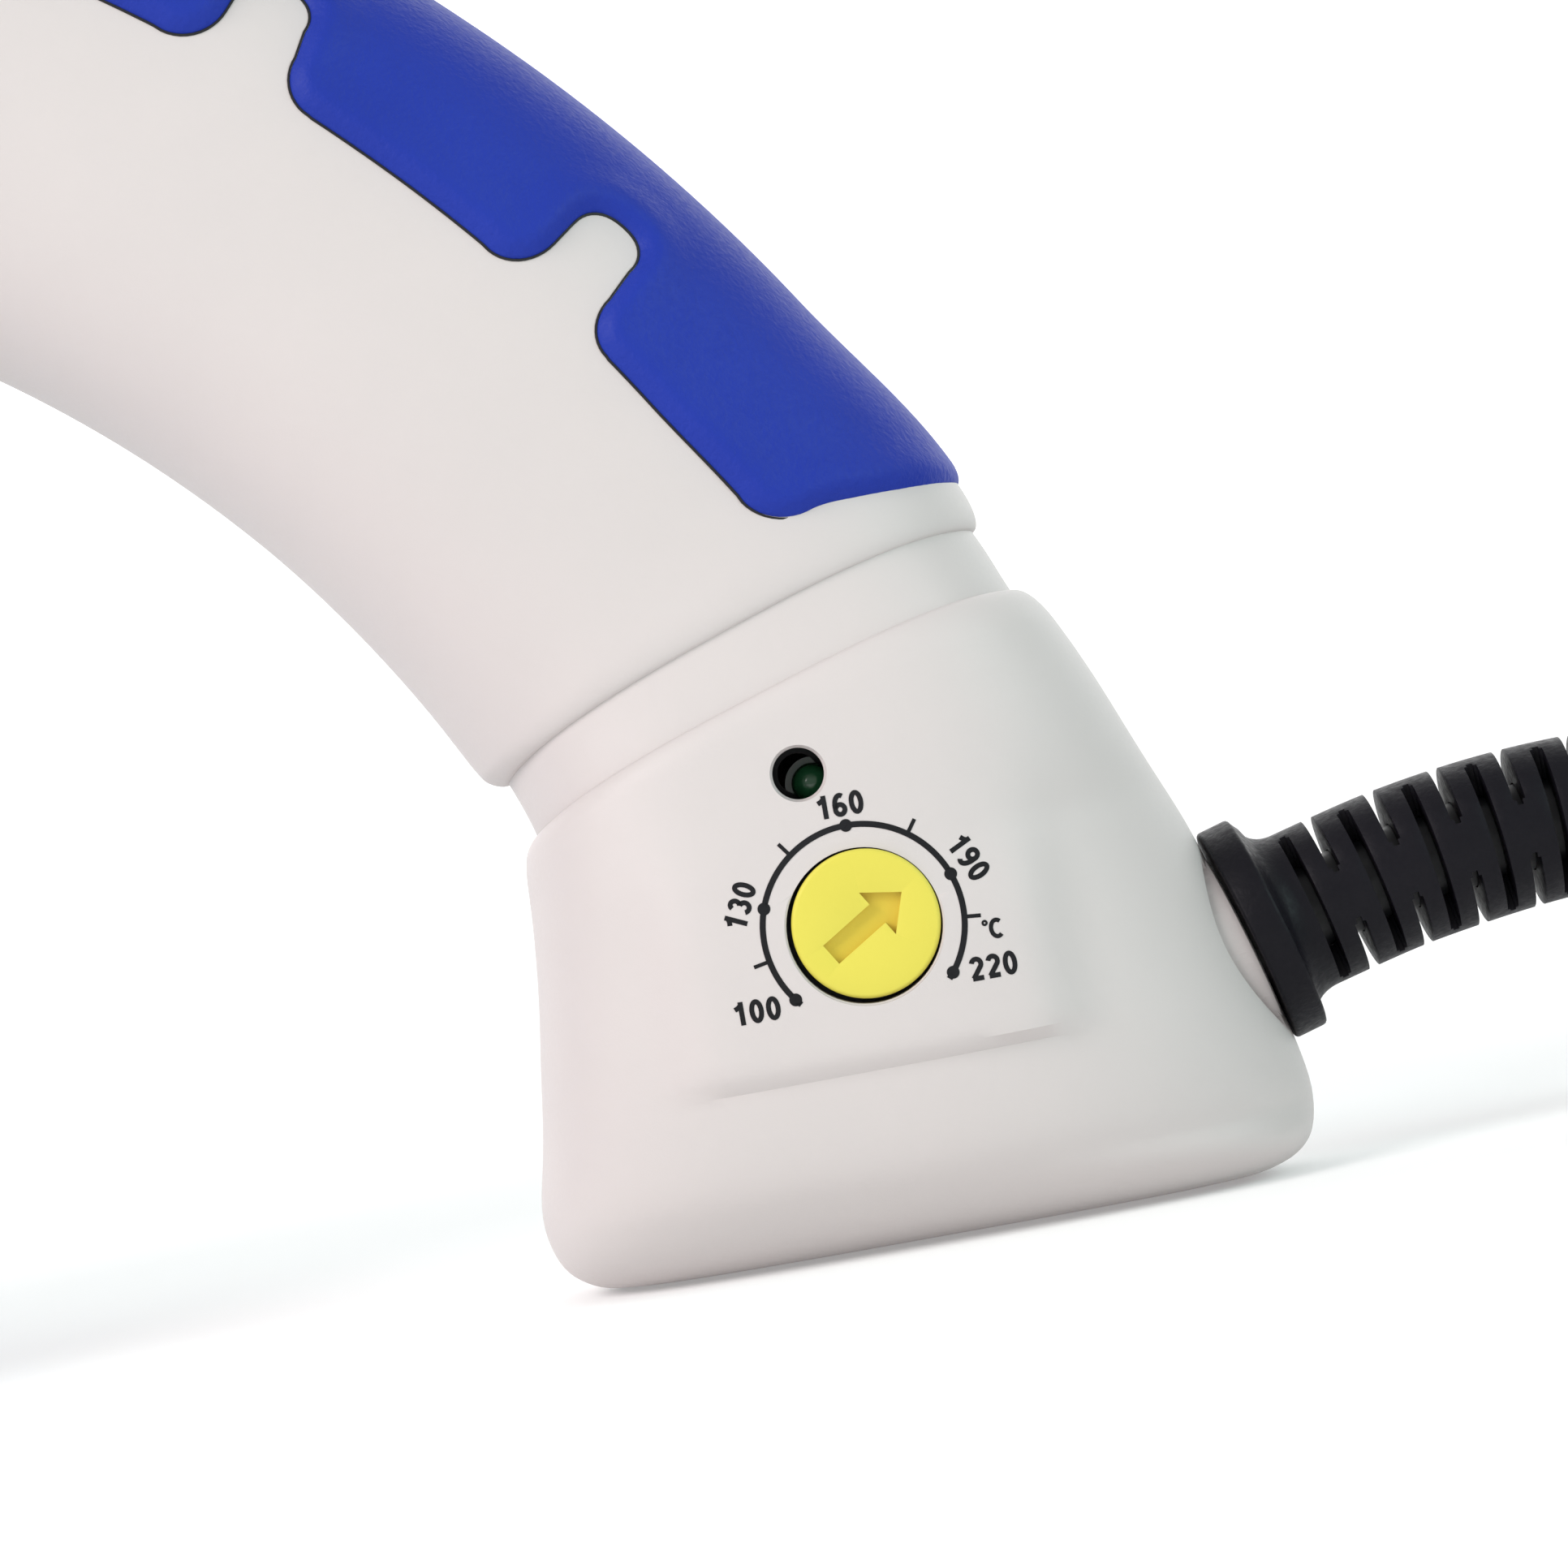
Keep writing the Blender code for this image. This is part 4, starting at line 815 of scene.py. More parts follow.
def dial():
    edge = 0.35
    profile = [(0, 0), (KNOB_R - edge, 0)]
    profile += [(KNOB_R - edge * (1 - math.sin(t)), edge * (1 - math.cos(t)))
                for t in np.linspace(0.3, math.pi / 2, 5)]
    profile += [(KNOB_R, 3.9), (0, 3.9)]
    knob = turned("dial_knob_fine", profile, (DIAL_X, DIAL_FACE_Y, DIAL_Z), ALONG_Y, "yellow", 128)
    knob.data.materials.append(MATS["recess"])
    shaft, head, tail, barb, tip = 0.92, 2.1, -3.55, 1.15, 3.6
    outline = [(-shaft, tail), (shaft, tail), (shaft, barb), (head, barb), (0.0, tip), (-head, barb),
               (-shaft, barb)]
    placed = [(DIAL_X + u, DIAL_Z + v) for u, v in turned_about_y(outline, ARROW_DEG)]
    arrow = prism("arrow", placed, DIAL_FACE_Y - 1, DIAL_FACE_Y + 0.85, "recess")
    combine(knob, [arrow], solver="EXACT")
    bevelled(knob, 0.12, 2, 50)
    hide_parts("dial_knob")
    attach(knob, "dial")
    profile = [(0, 0)] + [(1.6 * math.sin(t), 1.6 * (1 - math.cos(t)))
                          for t in np.linspace(0.15, math.pi / 2, 12)]
    profile += [(1.6, 4.2), (2.1, 4.2), (2.1, 5.2), (0, 5.2)]
    led = turned("status_led_fine", profile, (LED_X + 0.95, -16.6, LED_Z - 0.95), ALONG_Y, "lens", 48)
    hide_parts("status_led")
    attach(led, "casing")


SCALE_X, SCALE_Z, ARC_R, ARC_LINE = DIAL_X - 0.2, DIAL_Z - 0.07, 7.65, 0.46
TICK_R, TICK_HALF, DOT_R = 8.9, 0.145, 0.49
# Angle of the dot, word, and the word's own angle, distance and lean
LABELS = [(-127.5, "100", -118.6, 10.4, 0.0), (-70.8, "130", -71.3, 9.5, -65.5),
          (0.0, "160", -1.2, 9.27, 0.0),
          (69.8, "190", 67.5, 9.5, 64.5), (128.0, "220", 117.6, 10.3, 0.0)]
MINOR = [-101.0, -36.5, 35.9, 95.5]
WORD_SIZE, STROKE = 1.78, 0.212     # height of the numerals, and their stroke as a part of it
PRINT_LIFT, PRINT_SUNK = 0.03, 0.05


def oval(u, v, wide, high, start, end):
    """Part of an oval as points, angles counted anticlockwise from its right-hand side."""
    turns = np.radians(np.linspace(start, end, 4 + int(abs(end - start) / 14)))
    return [(u + wide * math.cos(t), v + high * math.sin(t)) for t in turns]


def numeral(character):
    """Centre lines of a character of height 1, and the width it takes up."""
    six = [oval(0.36, 0.3, 0.2, 0.21, 90, 450), oval(0.405, 0.45, 0.245, 0.455, 192, 62)]
    lines = {
        "0": [oval(0.36, 0.5, 0.2, 0.41, 90, 450)],
        "1": [[(0.44, 0.0), (0.44, 1.0)], [(0.44, 0.86), (0.33, 0.76), (0.17, 0.69)]],
        "2": [oval(0.36, 0.7, 0.2, 0.21, 168, -38) + [(0.16, 0.1)], [(0.12, 0.09), (0.6, 0.09)]],
        "3": [oval(0.35, 0.71, 0.18, 0.2, 155, -80), oval(0.35, 0.3, 0.21, 0.215, 80, -155)],
        "6": six,
        "9": [[(0.72 - u, 1 - v) for u, v in line] for line in six],
        "C": [oval(0.40, 0.5, 0.29, 0.41, 50, 310)],
        "°": [oval(0.17, 0.85, 0.1, 0.1, 90, 450)],
    }[character]
    return lines, {"C": 0.8, "°": 0.33}.get(character, 0.72)


def ribbon(line, width):
    """A centre line thickened to a flat strip of quads."""
    path = np.array(line)
    closed = np.allclose(path[0], path[-1])
    ahead = np.gradient(path, axis=0)
    if closed:
        ahead[0] = ahead[-1] = path[1] - path[-2]
    ahead /= np.linalg.norm(ahead, axis=1)[:, None]
    side = np.stack([-ahead[:, 1], ahead[:, 0]], axis=1) * width / 2
    points = [tuple(p) for p in np.concatenate([path + side, path - side])]
    count = len(path)
    return points, [(i, i + 1, count + i + 1, count + i) for i in range(count - 1)]


def glyphs(text, height):
    """A word in bold strokes as flat points and faces, centred on its own middle."""
    points, faces = [], []
    start = -sum(numeral(character)[1] for character in text) / 2
    for character in text:
        lines, advance = numeral(character)
        for line in lines:
            shape = ribbon(line, 0.11 if character == "°" else STROKE)
            faces += [tuple(len(points) + i for i in face) for face in shape[1]]
            points += [((start + u) * height, (v - 0.5) * height) for u, v in shape[0]]
        start += advance
    return points, faces


def around(degrees, radius):
    """(u, v) at an angle clockwise from straight up."""
    return radius * math.sin(math.radians(degrees)), radius * math.cos(math.radians(degrees))


def scale_shapes():
    """The scale's arc, ticks, dots and numerals as flat (x, z) points and faces."""
    points, faces = [], []

    def add(outline, shape_faces, centre=(0.0, 0.0), degrees=0.0):
        base = len(points)
        for u, v in turned_about_y(outline, degrees):
            points.append((SCALE_X + centre[0] + u, SCALE_Z + centre[1] + v))
        faces.extend([tuple(base + i for i in face) for face in shape_faces])

    steps = np.linspace(LABELS[0][0] - 4.2, LABELS[-1][0] + 4.2, 131)
    inner, outer = ARC_R - ARC_LINE / 2, ARC_R + ARC_LINE / 2
    for a, b in zip(steps, steps[1:]):
        add([around(a, inner), around(a, outer), around(b, outer), around(b, inner)], [range(4)])
    for degrees, text, word_degrees, distance, lean in LABELS:
        add([around(360 * i / 24, DOT_R) for i in range(24)], [range(24)], around(degrees, ARC_R))
        add(*glyphs(text, WORD_SIZE), around(word_degrees, distance), lean)
    tick = [(-TICK_HALF, ARC_R), (TICK_HALF, ARC_R), (TICK_HALF, TICK_R), (-TICK_HALF, TICK_R)]
    for degrees in MINOR:
        add(turned_about_y(tick, degrees), [range(4)])
    add(*glyphs("°C", WORD_SIZE * 0.86), around(101.8, 9.85))
    return points, faces


def printing(tree):
    """The dial's printed scale, laid a hair above the panel."""
    points, faces = scale_shapes()
    solid = []
    for layer in (PRINT_LIFT, -PRINT_SUNK):
        for x, z in points:
            hit = tree.ray_cast(Vector((x * MM, -0.05, z * MM)), Vector(ALONG_Y))[0]
            solid.append((x, (hit.y / MM if hit else -21.0) - layer, z))
    count = len(points)
    sides = dict.fromkeys(side for face in faces for side in zip(face, face[1:] + face[:1]))
    solid_faces = faces + [tuple(count + i for i in reversed(face)) for face in faces]
    solid_faces += [(b, a, count + a, count + b) for a, b in sides if (b, a) not in sides]
    marks = outward(mesh_object("dial_scale_print", solid, solid_faces, "print", 20))
    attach(marks, "casing")


# ---------------------------------------------------------------- cord boot and cord

BOOT_ROUTE = [(31.3, 0, 19.3), (43.0, 0, 22.1), (55.5, 0, 23.5), (68.0, 0, 23.0), (79.0, 0, 20.6),
              (88.0, 0, 17.2)]
CORD_ROUTE = [(88.3, 0, 17.1), (95.5, 0, 13.4), (102.5, 0, 9.4), (109.0, 0, 5.9), (115.2, 0, 4.1),
              (120.5, 0, 3.6)]
TAIL_ROUTE = [(TAIL_X, 6.0, 17.3), (TAIL_X, -6.0, 16.5), (TAIL_X, -16.0, 14.4), (TAIL_X, -24.0, 13.1),
              (TAIL_X, -29.6, 13.0)]
SLOT_PITCH, SLOT_WIDTH, FIRST_SLOT, SLOT_SWEEP = 2.51, 0.94, 2.45, 68.0
BOOT_INSIDE, BOOT_SIDES, FLANGE_R, FILLET = 3.6, 90, 9.0, 2.3
BOOT_STEP_DEG = 360 / BOOT_SIDES


def boot_radius(along):
    """Outer radius against the distance from the flange's front face; the sleeve tapers to its end."""
    if along < FILLET:
        reach = 1 - max(along, 0.0) / FILLET
        return 6.45 + 1.6 * (1 - math.sqrt(max(1 - reach * reach, 0.0)))
    return 6.45 - 1.2 * (max(along - 14.0, 0.0) / 43.0) ** 1.5


def boot_slots(total):
    """(start, kind) of every slot; kind 0 is open on both flanks, kind 1 above and below."""
    slots = []
    place = FIRST_SLOT
    while place + SLOT_WIDTH < total - 2.5:
        slots.append((place, len(slots) % 2))
        place += SLOT_PITCH
    return slots


def slot_is_open(slots, middle, column):
    angle = (column + 0.5) * BOOT_STEP_DEG
    for low, kind in slots:
        if low < middle < low + SLOT_WIDTH:
            centre = 90.0 if kind == 0 else 0.0
            off = abs((angle - centre + 90) % 180 - 90)
            centred = 0.25 * SLOT_WIDTH < middle - low < 0.75 * SLOT_WIDTH
            return off < SLOT_SWEEP + (BOOT_STEP_DEG if centred else 0.0)
    return False


def boot_rings():
    """Points of the boot, the first point of each outer and inner ring, and each gap's own slot test."""
    route = smooth_route(BOOT_ROUTE, 600)
    lengths = lengths_along(route)
    total = float(lengths[-1])
    coords = np.array([tuple(p) for p in route])
    slots = boot_slots(total)
    marks = {0.0, total, total - 0.3, total - 1.2} | {FILLET * i / 8 for i in range(1, 9)}
    for low, _ in slots:
        marks |= {low, low + 0.25 * SLOT_WIDTH, low + 0.75 * SLOT_WIDTH, low + SLOT_WIDTH,
                  low + SLOT_WIDTH + 0.7}
    marks = sorted(marks)
    points, outer, inner = [], [], []

    def add_rings(centre, up, radius):
        for size, rings in ((radius, outer), (BOOT_INSIDE, inner)):
            rings.append(len(points))
            for step in range(BOOT_SIDES):
                turn = math.radians(BOOT_STEP_DEG * step)
                points.append(centre + up * size * math.cos(turn) + Vector((0, size * math.sin(turn), 0)))

    up = Vector((-boot_axis().z, 0, boot_axis().x))
    flange = [(8.7, 0)] + [(8.7 + 0.3 * math.sin(t), 0.3 - 0.3 * math.cos(t)) for t in (0.5, 1.0, 1.57)]
    flange += [(FLANGE_R - 0.35 * (1 - math.cos(t)), 2.4 + 0.35 * math.sin(t))
               for t in (0.0, 0.5, 1.0, 1.57)]
    for radius, along in flange:
        add_rings(BOSS_END + boot_axis() * (0.3 + along), up, radius)
    middles = [-1.0] * len(flange) + [(a + b) / 2 for a, b in zip(marks, marks[1:])]
    for along in marks:
        ahead = point_at(min(along + 0.4, total), lengths, coords)
        behind = point_at(max(along - 0.4, 0), lengths, coords)
        forward = (ahead - behind).normalized()
        radius = boot_radius(along) - (0.25 if along > total - 0.1 else 0.0)
        add_rings(point_at(along, lengths, coords), Vector((-forward.z, 0, forward.x)), radius)
    is_open = [[slot_is_open(slots, middle, column) for column in range(BOOT_SIDES)] for middle in middles]
    return points, outer, inner, is_open + [[False] * BOOT_SIDES]


def boot():
    points, outer, inner, is_open = boot_rings()
    faces = []
    for row in range(len(outer) - 1):
        for column in range(BOOT_SIDES):
            after = (column + 1) % BOOT_SIDES
            if not is_open[row][column]:
                faces += [(outer[row] + column, outer[row] + after, outer[row + 1] + after,
                           outer[row + 1] + column),
                          (inner[row] + column, inner[row + 1] + column, inner[row + 1] + after,
                           inner[row] + after)]
                continue
            for beside, a, b, edge in ((row - 1, column, after, row), (row + 1, after, column, row + 1)):
                if not is_open[beside][column]:
                    faces.append((outer[edge] + a, outer[edge] + b, inner[edge] + b, inner[edge] + a))
            for beside, at in (((column - 1) % BOOT_SIDES, column), ((column + 1) % BOOT_SIDES, after)):
                if not is_open[row][beside]:
                    faces.append((outer[row] + at, outer[row + 1] + at, inner[row + 1] + at,
                                  inner[row] + at))
    for column in range(BOOT_SIDES):
        after = (column + 1) % BOOT_SIDES
        faces += [(outer[0] + column, inner[0] + column, inner[0] + after, outer[0] + after),
                  (outer[-1] + column, outer[-1] + after, inner[-1] + after, inner[-1] + column)]
    sleeve = outward(mesh_object("cord_boot_fine", points, faces, "rubber", 40))
    bm = bmesh.new()
    bm.from_mesh(sleeve.data)
    bmesh.ops.delete(bm, geom=[v for v in bm.verts if not v.link_faces], context="VERTS")
    bm.to_mesh(sleeve.data)
    bm.free()
    bevelled(sleeve, 0.13, 2, 50)
    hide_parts("cord_boot")
    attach(sleeve, "casing")


COIL_RINGS = [(45.5, 3.5), (38.5, 3.5), (31.5, 3.5), (31.5, 10.45), (38.5, 10.45), (45.5, 10.45),
              (40.2, 17.4),
              (33.2, 17.4)]
LAST_RING_PART, RING_STEPS, SHIFT_FROM = 0.75, 36, 0.84


def coil_turns():
    """The cord's centre line through the coil: each turn lies in its ring, then shifts to the next one."""
    points = []
    for ring, (radius, height) in enumerate(COIL_RINGS):
        last = ring + 1 == len(COIL_RINGS)
        next_radius, next_height = (radius, height) if last else COIL_RINGS[ring + 1]
        for step in range(int(RING_STEPS * LAST_RING_PART) + 1 if last else RING_STEPS):
            part = step / RING_STEPS
            move = 0.0 if last else float(smoothstep((part - SHIFT_FROM) / (1 - SHIFT_FROM)))
            r = radius + (next_radius - radius) * move
            angle = -math.pi / 2 + 2 * math.pi * part
            points.append((COIL_X + r * math.cos(angle), COIL_Y + r * math.sin(angle),
                           height + (next_height - height) * move))
    return points


def poly_tube(name, points, radius, mat):
    curve = bpy.data.curves.new(name, "CURVE")
    curve.dimensions = "3D"
    curve.bevel_depth = radius * MM
    curve.bevel_resolution = 6
    curve.use_fill_caps = True
    spline = curve.splines.new("POLY")
    spline.points.add(len(points) - 1)
    for point, place in zip(spline.points, points):
        point.co = (*(Vector(place) * MM), 1.0)
    obj = bpy.data.objects.new(name, curve)
    bpy.context.scene.collection.objects.link(obj)
    curve.materials.append(MATS[mat])
    return obj


def mains_cord():
    """One lead from inside the boot, down to the table, round the coil and out to the plug."""
    inside = BOSS_END + boot_axis() * 0.6
    lead_in = [tuple(inside)] + BOOT_ROUTE + CORD_ROUTE[1:]
    drop = smooth_route(lead_in, 70)
    straight = [(x, 0.0, 3.5) for x in (126.0, 130.0, 135.0)]
    across = [(TAIL_X, y, 17.4) for y in (39.0, 32.0, 25.0, 18.0, 12.0)]
    tail = smooth_route(TAIL_ROUTE[:-1] + [(TAIL_X, -31.5, 13.0)], 14)
    points = [tuple(p) for p in drop] + straight + coil_turns() + across + [tuple(p) for p in tail]
    cord = poly_tube("mains_lead", points, CORD_R - 0.03, "sheath")
    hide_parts("mains_cord", "cord_coil", "cord_tail")
    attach(cord, "casing")
    plug = plug_body()
    tie = cord_tie()
    plug_pins()


def cord_tie():
    """A strap round the coil's bundle, away from the crossing turns."""
    angle, half_r, half_z, thick, width, round_r = math.radians(62), 11.0, 10.65, 0.9, 9.0, 3.2
    centre = Vector((COIL_X + 38.5 * math.cos(angle), COIL_Y + 38.5 * math.sin(angle), half_z + 0.05))
    out = Vector((math.cos(angle), math.sin(angle), 0))
    along = Vector((-out.y, out.x, 0))
    loop = []
    for quarter, (sr, sz) in enumerate(((1, 1), (-1, 1), (-1, -1), (1, -1))):
        for step in range(7):
            turn = math.pi / 2 * (quarter + step / 6)
            nr, nz = math.cos(turn), math.sin(turn)
            loop.append(((half_r - round_r) * sr + round_r * nr, (half_z - round_r) * sz + round_r * nz,
                         nr, nz))
    points, faces = [], []
    for r, z, nr, nz in loop:
        for inset, side in ((0, -1), (0, 1), (thick, 1), (thick, -1)):
            rise = Vector((0, 0, z - inset * nz))
            points.append(centre + out * (r - inset * nr) + rise + along * side * width / 2)
    count = len(loop)
    for i in range(count):
        j = (i + 1) % count
        faces += [(4 * i + k, 4 * i + (k + 1) % 4, 4 * j + (k + 1) % 4, 4 * j + k) for k in range(4)]
    tie = outward(mesh_object("cord_tie", points, faces, "rubber", 30))
    bevelled(tie, 0.2, 2)
    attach(tie, "casing")
    return tie


def plug_body():
    """Round moulded plug: ribbed neck, domed shoulder and a flat face with two pins."""
    profile = [(0, 0), (4.4, 0), (4.9, 0.5)]
    for rib in range(5):
        base = 1.6 + rib * 1.9
        profile += [(5.0 + 0.32 * rib, base), (4.3 + 0.32 * rib, base + 0.25),
                    (4.3 + 0.32 * rib, base + 0.85),
                    (5.15 + 0.32 * rib, base + 1.1)]
    profile += [(7.4, 11.6), (9.6, 13.0), (11.4, 14.8), (12.5, 17.2), (12.95, 20.0), (12.95, 25.0),
                (12.6, 25.6),
                (12.6, 27.4), (12.95, 28.0), (12.95, 36.6), (12.6, 37.6), (11.9, 38.0), (0, 38.0)]
    plug = turned("mains_plug", profile, (TAIL_X, PLUG_Y0, PLUG_Z), (0, -1, 0), "black", 72, 30)
    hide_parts("plug_body")
    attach(plug, "casing")
    return plug


def plug_pins():
    pins = []
    for index, side in enumerate((-9.5, 9.5), 1):
        profile = [(0, 0), (2.35, 0), (2.4, 0.2), (2.4, 17.6), (2.1, 18.5), (1.4, 18.95), (0, 19.0)]
        place = (TAIL_X + side * 0.74, PLUG_Y1 - 0.3, PLUG_Z)
        pin = turned(f"mains_pin_{index}", profile, place, (0, -1, 0), "brass", 40)
        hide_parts(f"plug_pin_{index}")
        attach(pin, "casing")
        pins.append(pin)
    return pins


# ---------------------------------------------------------------- trigger, tank and steam head

def trigger():
    outline = [(-72.0, 95.0), (-72.0, 90.0), (-72.05, 84.8), (-73.3, 81.5), (-76.5, 80.2), (-80.5, 81.7),
               (-85.0, 84.7), (-89.5, 86.3), (-93.2, 86.9), (-93.5, 91.0), (-93.7, 95.6), (-95.4, 96.2),
               (-99.4, 96.6),
               (-100.6, 99.0), (-99.3, 102.0), (-96.4, 102.7), (-93.0, 100.3), (-89.0, 97.1), (-87.4, 93.2),
               (-84.0, 93.2), (-80.6, 93.2), (-80.0, 95.0)]
    finger = smooth_route([(x, 0, z) for x, z in outline[2:9]], 40)
    outline = outline[:2] + [(p.x, p.z) for p in finger] + outline[9:]
    piece = prism("trigger_fine", outline, -6.0, 6.0, "yellow")
    bore = rod("trigger_bore", TRIGGER_PIVOT, ALONG_Y, TRIGGER_BORE_R, -8, 8, "yellow", 32)
    combine(piece, [bore])
    bevelled(piece, 0.9, 4, 25)
    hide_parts("trigger")
    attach(piece, "trigger")


def hinge_bore(mat):
    return rod("bore", (-152, HINGE_Y, HINGE_Z), ALONG_X, 1.1, 0, 20, mat, 24)


def tank():
    body = rounded_block("water_tank_fine", TANK_LOW, TANK_HIGH, 8.0, "tank", 8)
    for x in (-150.5, -136.5):
        ear = rounded_block(f"ear_{x}", (x, -30.1, 78.5), (x + 3.0, -23.8, 83.5), 0.8, "tank", 3)
        combine(body, [ear], "UNION")
    for index, z in enumerate((26.0, 46.0)):
        rib = rounded_block(f"level_{index}", (-172.0, -25.35, z), (-158.0, -24.6, z + 0.8), 0.2, "tank", 2)
        combine(body, [rib], "UNION")
    cavity = rounded_block("cavity", [c + TANK_SKIN for c in TANK_LOW],
                           [c - TANK_SKIN for c in TANK_HIGH], 6.0, "tank")
    spout = rod("spout", (SUCTION_X, 0, 86), ALONG_Z, SPOUT_R, 0, 10, "tank", 48)
    filler = rod("filler", (FILLER_X, -32, FILLER_Z), ALONG_Y, FILLER_R, 0, 12, "tank", 64)
    combine(body, [cavity])
    combine(body, [spout, filler, hinge_bore("tank")])
    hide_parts("water_tank")
    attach(body, "casing")
    for name, x in (("tank_foot_front", -170.0), ("tank_foot_rear", -130.0)):
        foot = rounded_block(f"{name}_fine", (x, -18, 0), (x + 12, 18, 3.8), 1.0, "rubber", 4)
        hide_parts(name)
        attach(foot, "casing")


def filler_flap():
    profile = [(0, 0.35), (8.0, 0.2), (11.6, 0.0), (12.5, 0.25), (13.0, 0.9), (13.0, 2.2), (12.7, 2.6),
               (0, 2.6)]
    flap = turned("filler_flap_fine", profile, (FILLER_X, -28.0, FILLER_Z), ALONG_Y, "grip", 96)
    knuckle = turned("knuckle", [(0, 0), (1.9, 0), (2.2, 0.3), (2.2, 9.7), (1.9, 10), (0, 10)],
                     (-147.0, HINGE_Y, HINGE_Z), ALONG_X, "grip", 40)
    neck = rounded_block("neck", (-146.0, -27.9, 76), (-138.0, -25.5, HINGE_Z), 0.4, "grip", 2)
    lip = rounded_block("lip", (-146.0, -28.6, 53.4), (-138.0, -25.9, 56.6), 0.7, "grip", 3)
    for part in (knuckle, neck, lip):
        combine(flap, [part], "UNION")
    combine(flap, [hinge_bore("grip")])
    bevelled(flap, 0.15, 2, 40)
    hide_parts("filler_flap")
    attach(flap, "flap")


def lug_outline(base_x):
    """A lug's (x, z) outline, from base_x to a round end about the head's pivot."""
    away = math.copysign(1.0, HEAD_PIVOT_X - base_x)
    outline = [(base_x, HEAD_Z - LUG_R)]
    for step in range(25):
        turn = math.pi * (step / 24 - 0.5)
        outline.append((HEAD_PIVOT_X + away * LUG_R * math.cos(turn), HEAD_Z + LUG_R * math.sin(turn)))
    return outline + [(base_x, HEAD_Z + LUG_R)]


def pivot_holes(mat):
    return [rod(f"pivot_hole_{side}", (HEAD_PIVOT_X, 0, HEAD_Z), (0, side, 0), HEAD_BORE_R, 8, 30, mat, 32)
            for side in (-1, 1)]


def plate_screw_holes(name, x, mat, segments):
    return [rod(f"{name}_{i}", (x, y, HEAD_Z + z), ALONG_X, PLATE_SCREW_R, 0, 6, mat, segments)
            for i, (y, z) in enumerate((y, z) for y in (-45, 45) for z in (-68, 68))]


def head_bracket():
    body = rounded_block("head_bracket_fine", (-196, -23, 95.5), (-190.3, 23, 139.5), 2.5, "black", 5)
    for y in (-21.0, 16.0):
        combine(body, [prism(f"ear_{y}", lug_outline(-194.0), y, y + 5, "black")], "UNION")
    hole = rod("pipe_hole", (-198, 0, HEAD_Z), ALONG_X, 3.5, 0, 12, "black", 40)
    combine(body, [hole, *pivot_holes("black")])
    bevelled(body, 0.25, 2, 40)
    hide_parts("head_bracket")
    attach(body, "casing")


def steam_hood():
    low_z, high_z = HEAD_Z - PLATE_HALF_Z, HEAD_Z + PLATE_HALF_Z
    hood = rounded_block("steam_hood_fine", (HOOD_FRONT, -PLATE_HALF_Y, low_z),
                         (HOOD_BACK, PLATE_HALF_Y, high_z), 5.0, "casing", 7)
    inside = (HOOD_BACK - HOOD_WALL, PLATE_HALF_Y - HOOD_WALL, high_z - HOOD_WALL)
    outside = (-230, HOOD_WALL - PLATE_HALF_Y, low_z + HOOD_WALL)
    hollow = rounded_block("hollow", outside, inside, 0.0, "casing")
    rim = rounded_block("rim", (-240, -70, 0), (-216.4, 70, 240), 0.0, "casing")
    combine(hood, [hollow])
    combine(hood, [rim])
    for y in (-15.0, 9.0):
        combine(hood, [prism(f"lug_{y}", lug_outline(-211.6), y, y + 6, "casing")], "UNION")
    for z in (-46.0, -30.0, 30.0, 46.0):
        rib = rounded_block(f"rib_{z}", (-211.5, -36, HEAD_Z + z - 1.2), (-209.3, 36, HEAD_Z + z + 1.2),
                            0.9, "casing", 4)
        combine(hood, [rib], "UNION")
    inlet = rod("inlet", (-214, 0, HEAD_Z), ALONG_X, 6.5, 0, 6, "casing", 48)
    combine(hood, pivot_holes("casing") + [inlet] + plate_screw_holes("screw_hole", -214, "casing", 32))
    bevelled(hood, 0.25, 2, 40)
    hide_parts("steam_hood")
    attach(hood, "steam_head")


def steam_plate():
    """The perforated plate: 24 countersunk steam holes and four blind holes for its screws."""
    plate = rounded_block("steam_plate_fine", (-223.0, -PLATE_HALF_Y, HEAD_Z - PLATE_HALF_Z),
                          (-218.7, PLATE_HALF_Y, HEAD_Z + PLATE_HALF_Z), 1.2, "aluminium", 4)
    funnel = [(0, -7), (3.3, -7), (3.3, -4.9), (2.0, -3.6), (2.0, 2), (0, 2)]
    holes = [turned(f"steam_hole_{row}_{column}", funnel,
                    (-218.6, (column - 1.5) * 22.0, HEAD_Z + (row - 2.5) * 22.0),
                    ALONG_X, "aluminium", 32) for row in range(6) for column in range(4)]
    combine(plate, holes + plate_screw_holes("blind", -221, "aluminium", 24))
    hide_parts("steam_plate")
    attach(plate, "steam_head")


def screws():
    """Casing screws with cross recesses, seen down their wells on the far side."""
    for index, (x, z, _) in enumerate(SCREW_PLACES, 1):
        profile = [(0, 10.9), (1.9, 10.7), (2.6, 10.1), (2.6, 8.0), (1.5, 7.6), (1.5, -8.0), (0, -9.0)]
        screw = turned(f"casing_screw_{index}", profile, (x, 0, z), ALONG_Y, "steel", 32)
        blades = [rounded_block(f"blade_{k}", (x - a, 9.7, z - b), (x + a, 12, z + b), 0.0, "steel")
                  for k, (a, b) in enumerate(((1.5, 0.28), (0.28, 1.5)))]
        for blade in blades:
            combine(screw, [blade])
        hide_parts(f"shell_screw_{index}")
        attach(screw, "casing")


# ---------------------------------------------------------------- carried-over nodes, stage and light

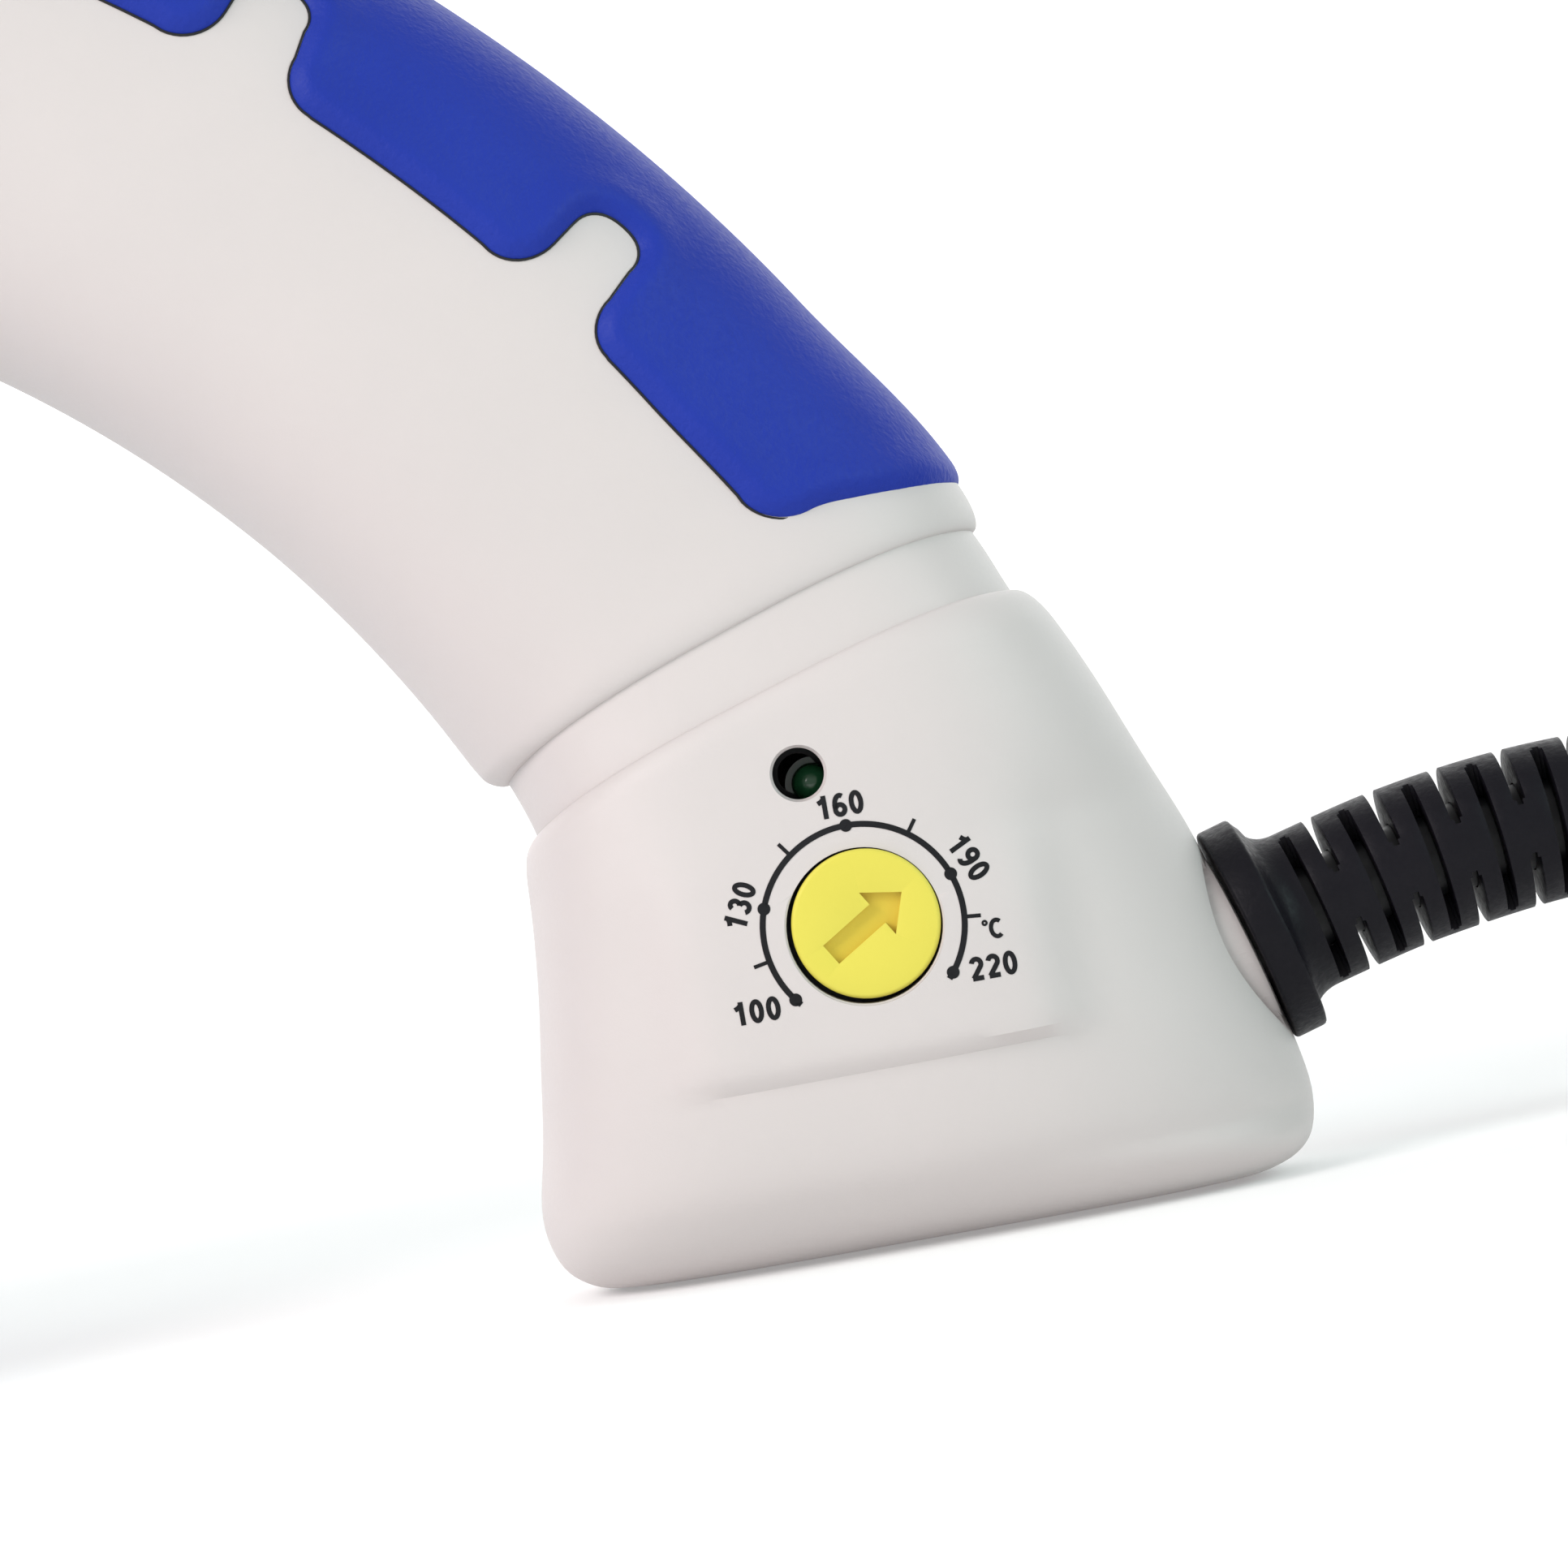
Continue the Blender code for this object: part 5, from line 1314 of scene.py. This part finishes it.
SLOT_MATERIAL = {
    "casing": "casing", "soft_grip": "grip", "yellow_plastic": "yellow", "black_plastic": "black",
    "black_rubber": "rubber", "cord_sheath": "sheath", "grey_plastic": "grey", "light_lens": "lens",
    "circuit_board": "board", "steel": "steel", "brass": "brass", "aluminium": "aluminium",
                 "clear_tank": "tank",
    "clear_hose": "hose", "insulation": "insulation",
}


def dress_nodes():
    """Every carried-over node gets the finish of its slot."""
    slots = {part["node"]: part["material_slot"] for part in frame["record"]["subparts"]}
    for name, obj in frame["nodes"].items():
        mat = MATS[SLOT_MATERIAL[slots[name]]]
        if obj.data.materials:
            for index in range(len(obj.data.materials)):
                obj.data.materials[index] = mat
        else:
            obj.data.materials.append(mat)


SWEEP_GLOW = (0.2, 1.2)     # at the floor, and from 0.35 m up
WORLD_LIGHT = 0.6
LIT_POINT = Vector((-0.02, 0, 0.05))
# name, place in metres, diameter, power, colour
LIGHTS = [("key", (-1.0, -0.85, 0.75), 0.9, 15.5, (1.0, 0.93, 0.92)),
          ("fill", (0.95, -0.6, 0.55), 0.8, 5.2, (0.70, 1.0, 0.96))]


def camera():
    data = bpy.data.cameras.new("camera")
    data.lens, data.sensor_width = 130.0, 36.0
    data.clip_start, data.clip_end = 0.01, 20.0
    obj = bpy.data.objects.new("camera", data)
    obj.matrix_world = (Matrix.Translation(Vector((-5.4, -450.0,
                                                   37.0)) * MM) @ Matrix.Rotation(math.pi / 2, 4, "X")
                        @ Matrix.Rotation(math.radians(-10.2), 4, "Z"))
    bpy.context.scene.collection.objects.link(obj)
    bpy.context.scene.camera = obj


def area_light(name, place, size, power, colour):
    data = bpy.data.lights.new(name, "AREA")
    data.shape, data.size = "DISK", size
    data.energy, data.color = power, colour
    obj = bpy.data.objects.new(name, data)
    obj.location = place
    obj.rotation_euler = (LIT_POINT - Vector(place)).to_track_quat("-Z", "Y").to_euler()
    bpy.context.scene.collection.objects.link(obj)


def stage():
    """A white sweep that glows a little, more so up its wall, and soft light mostly from the front left."""
    mat, tree, shader = shader_of("stage")
    put(shader, {"Base Color": (0.8, 0.8, 0.8, 1.0), "Roughness": 0.9, "Specular IOR Level": 0.1,
                 "Emission Color": (1.0, 1.0, 1.0, 1.0)})
    place = tree.nodes.new("ShaderNodeTexCoord")
    axes = tree.nodes.new("ShaderNodeSeparateXYZ")
    tree.links.new(place.outputs["Object"], axes.inputs["Vector"])
    tree.links.new(spread(tree, axes.outputs["Z"], *SWEEP_GLOW, 0.0, 0.35),
                   shader.inputs["Emission Strength"])
    points = []
    profile = [(-2.2, 0.0), (1.2, 0.0)]
    profile += [(1.2 + 0.8 * math.sin(t), 0.8 - 0.8 * math.cos(t))
                for t in np.linspace(0.15, math.pi / 2, 12)]
    profile += [(2.0, 3.2)]
    for y, z in profile:
        points += [(-3.2, y, z), (3.2, y, z)]
    faces = [(2 * i, 2 * i + 1, 2 * i + 3, 2 * i + 2) for i in range(len(profile) - 1)]
    mesh = bpy.data.meshes.new("sweep")
    mesh.from_pydata([(x, y, z - 0.0002) for x, y, z in points], [], faces)
    mesh.materials.append(mat)
    obj = bpy.data.objects.new("sweep", mesh)
    bpy.context.scene.collection.objects.link(obj)
    shade(obj)
    world = bpy.data.worlds.new("studio")
    world.use_nodes = True
    put(world.node_tree.nodes["Background"], {"Color": (1.0, 1.0, 1.0, 1.0), "Strength": WORLD_LIGHT})
    bpy.context.scene.world = world
    for name, place, size, power, colour in LIGHTS:
        area_light(name, place, size, power, colour)
    bpy.context.scene.view_settings.view_transform = "Standard"


def main():
    camera()
    mains_cord()
    stage()
    dress_nodes()
    shells = casing()
    tree = surface_finder(shells)
    soft_grip()
    dial()
    printing(tree)
    boot()
    trigger()
    tank()
    filler_flap()
    head_bracket()
    steam_hood()
    steam_plate()
    screws()


main()
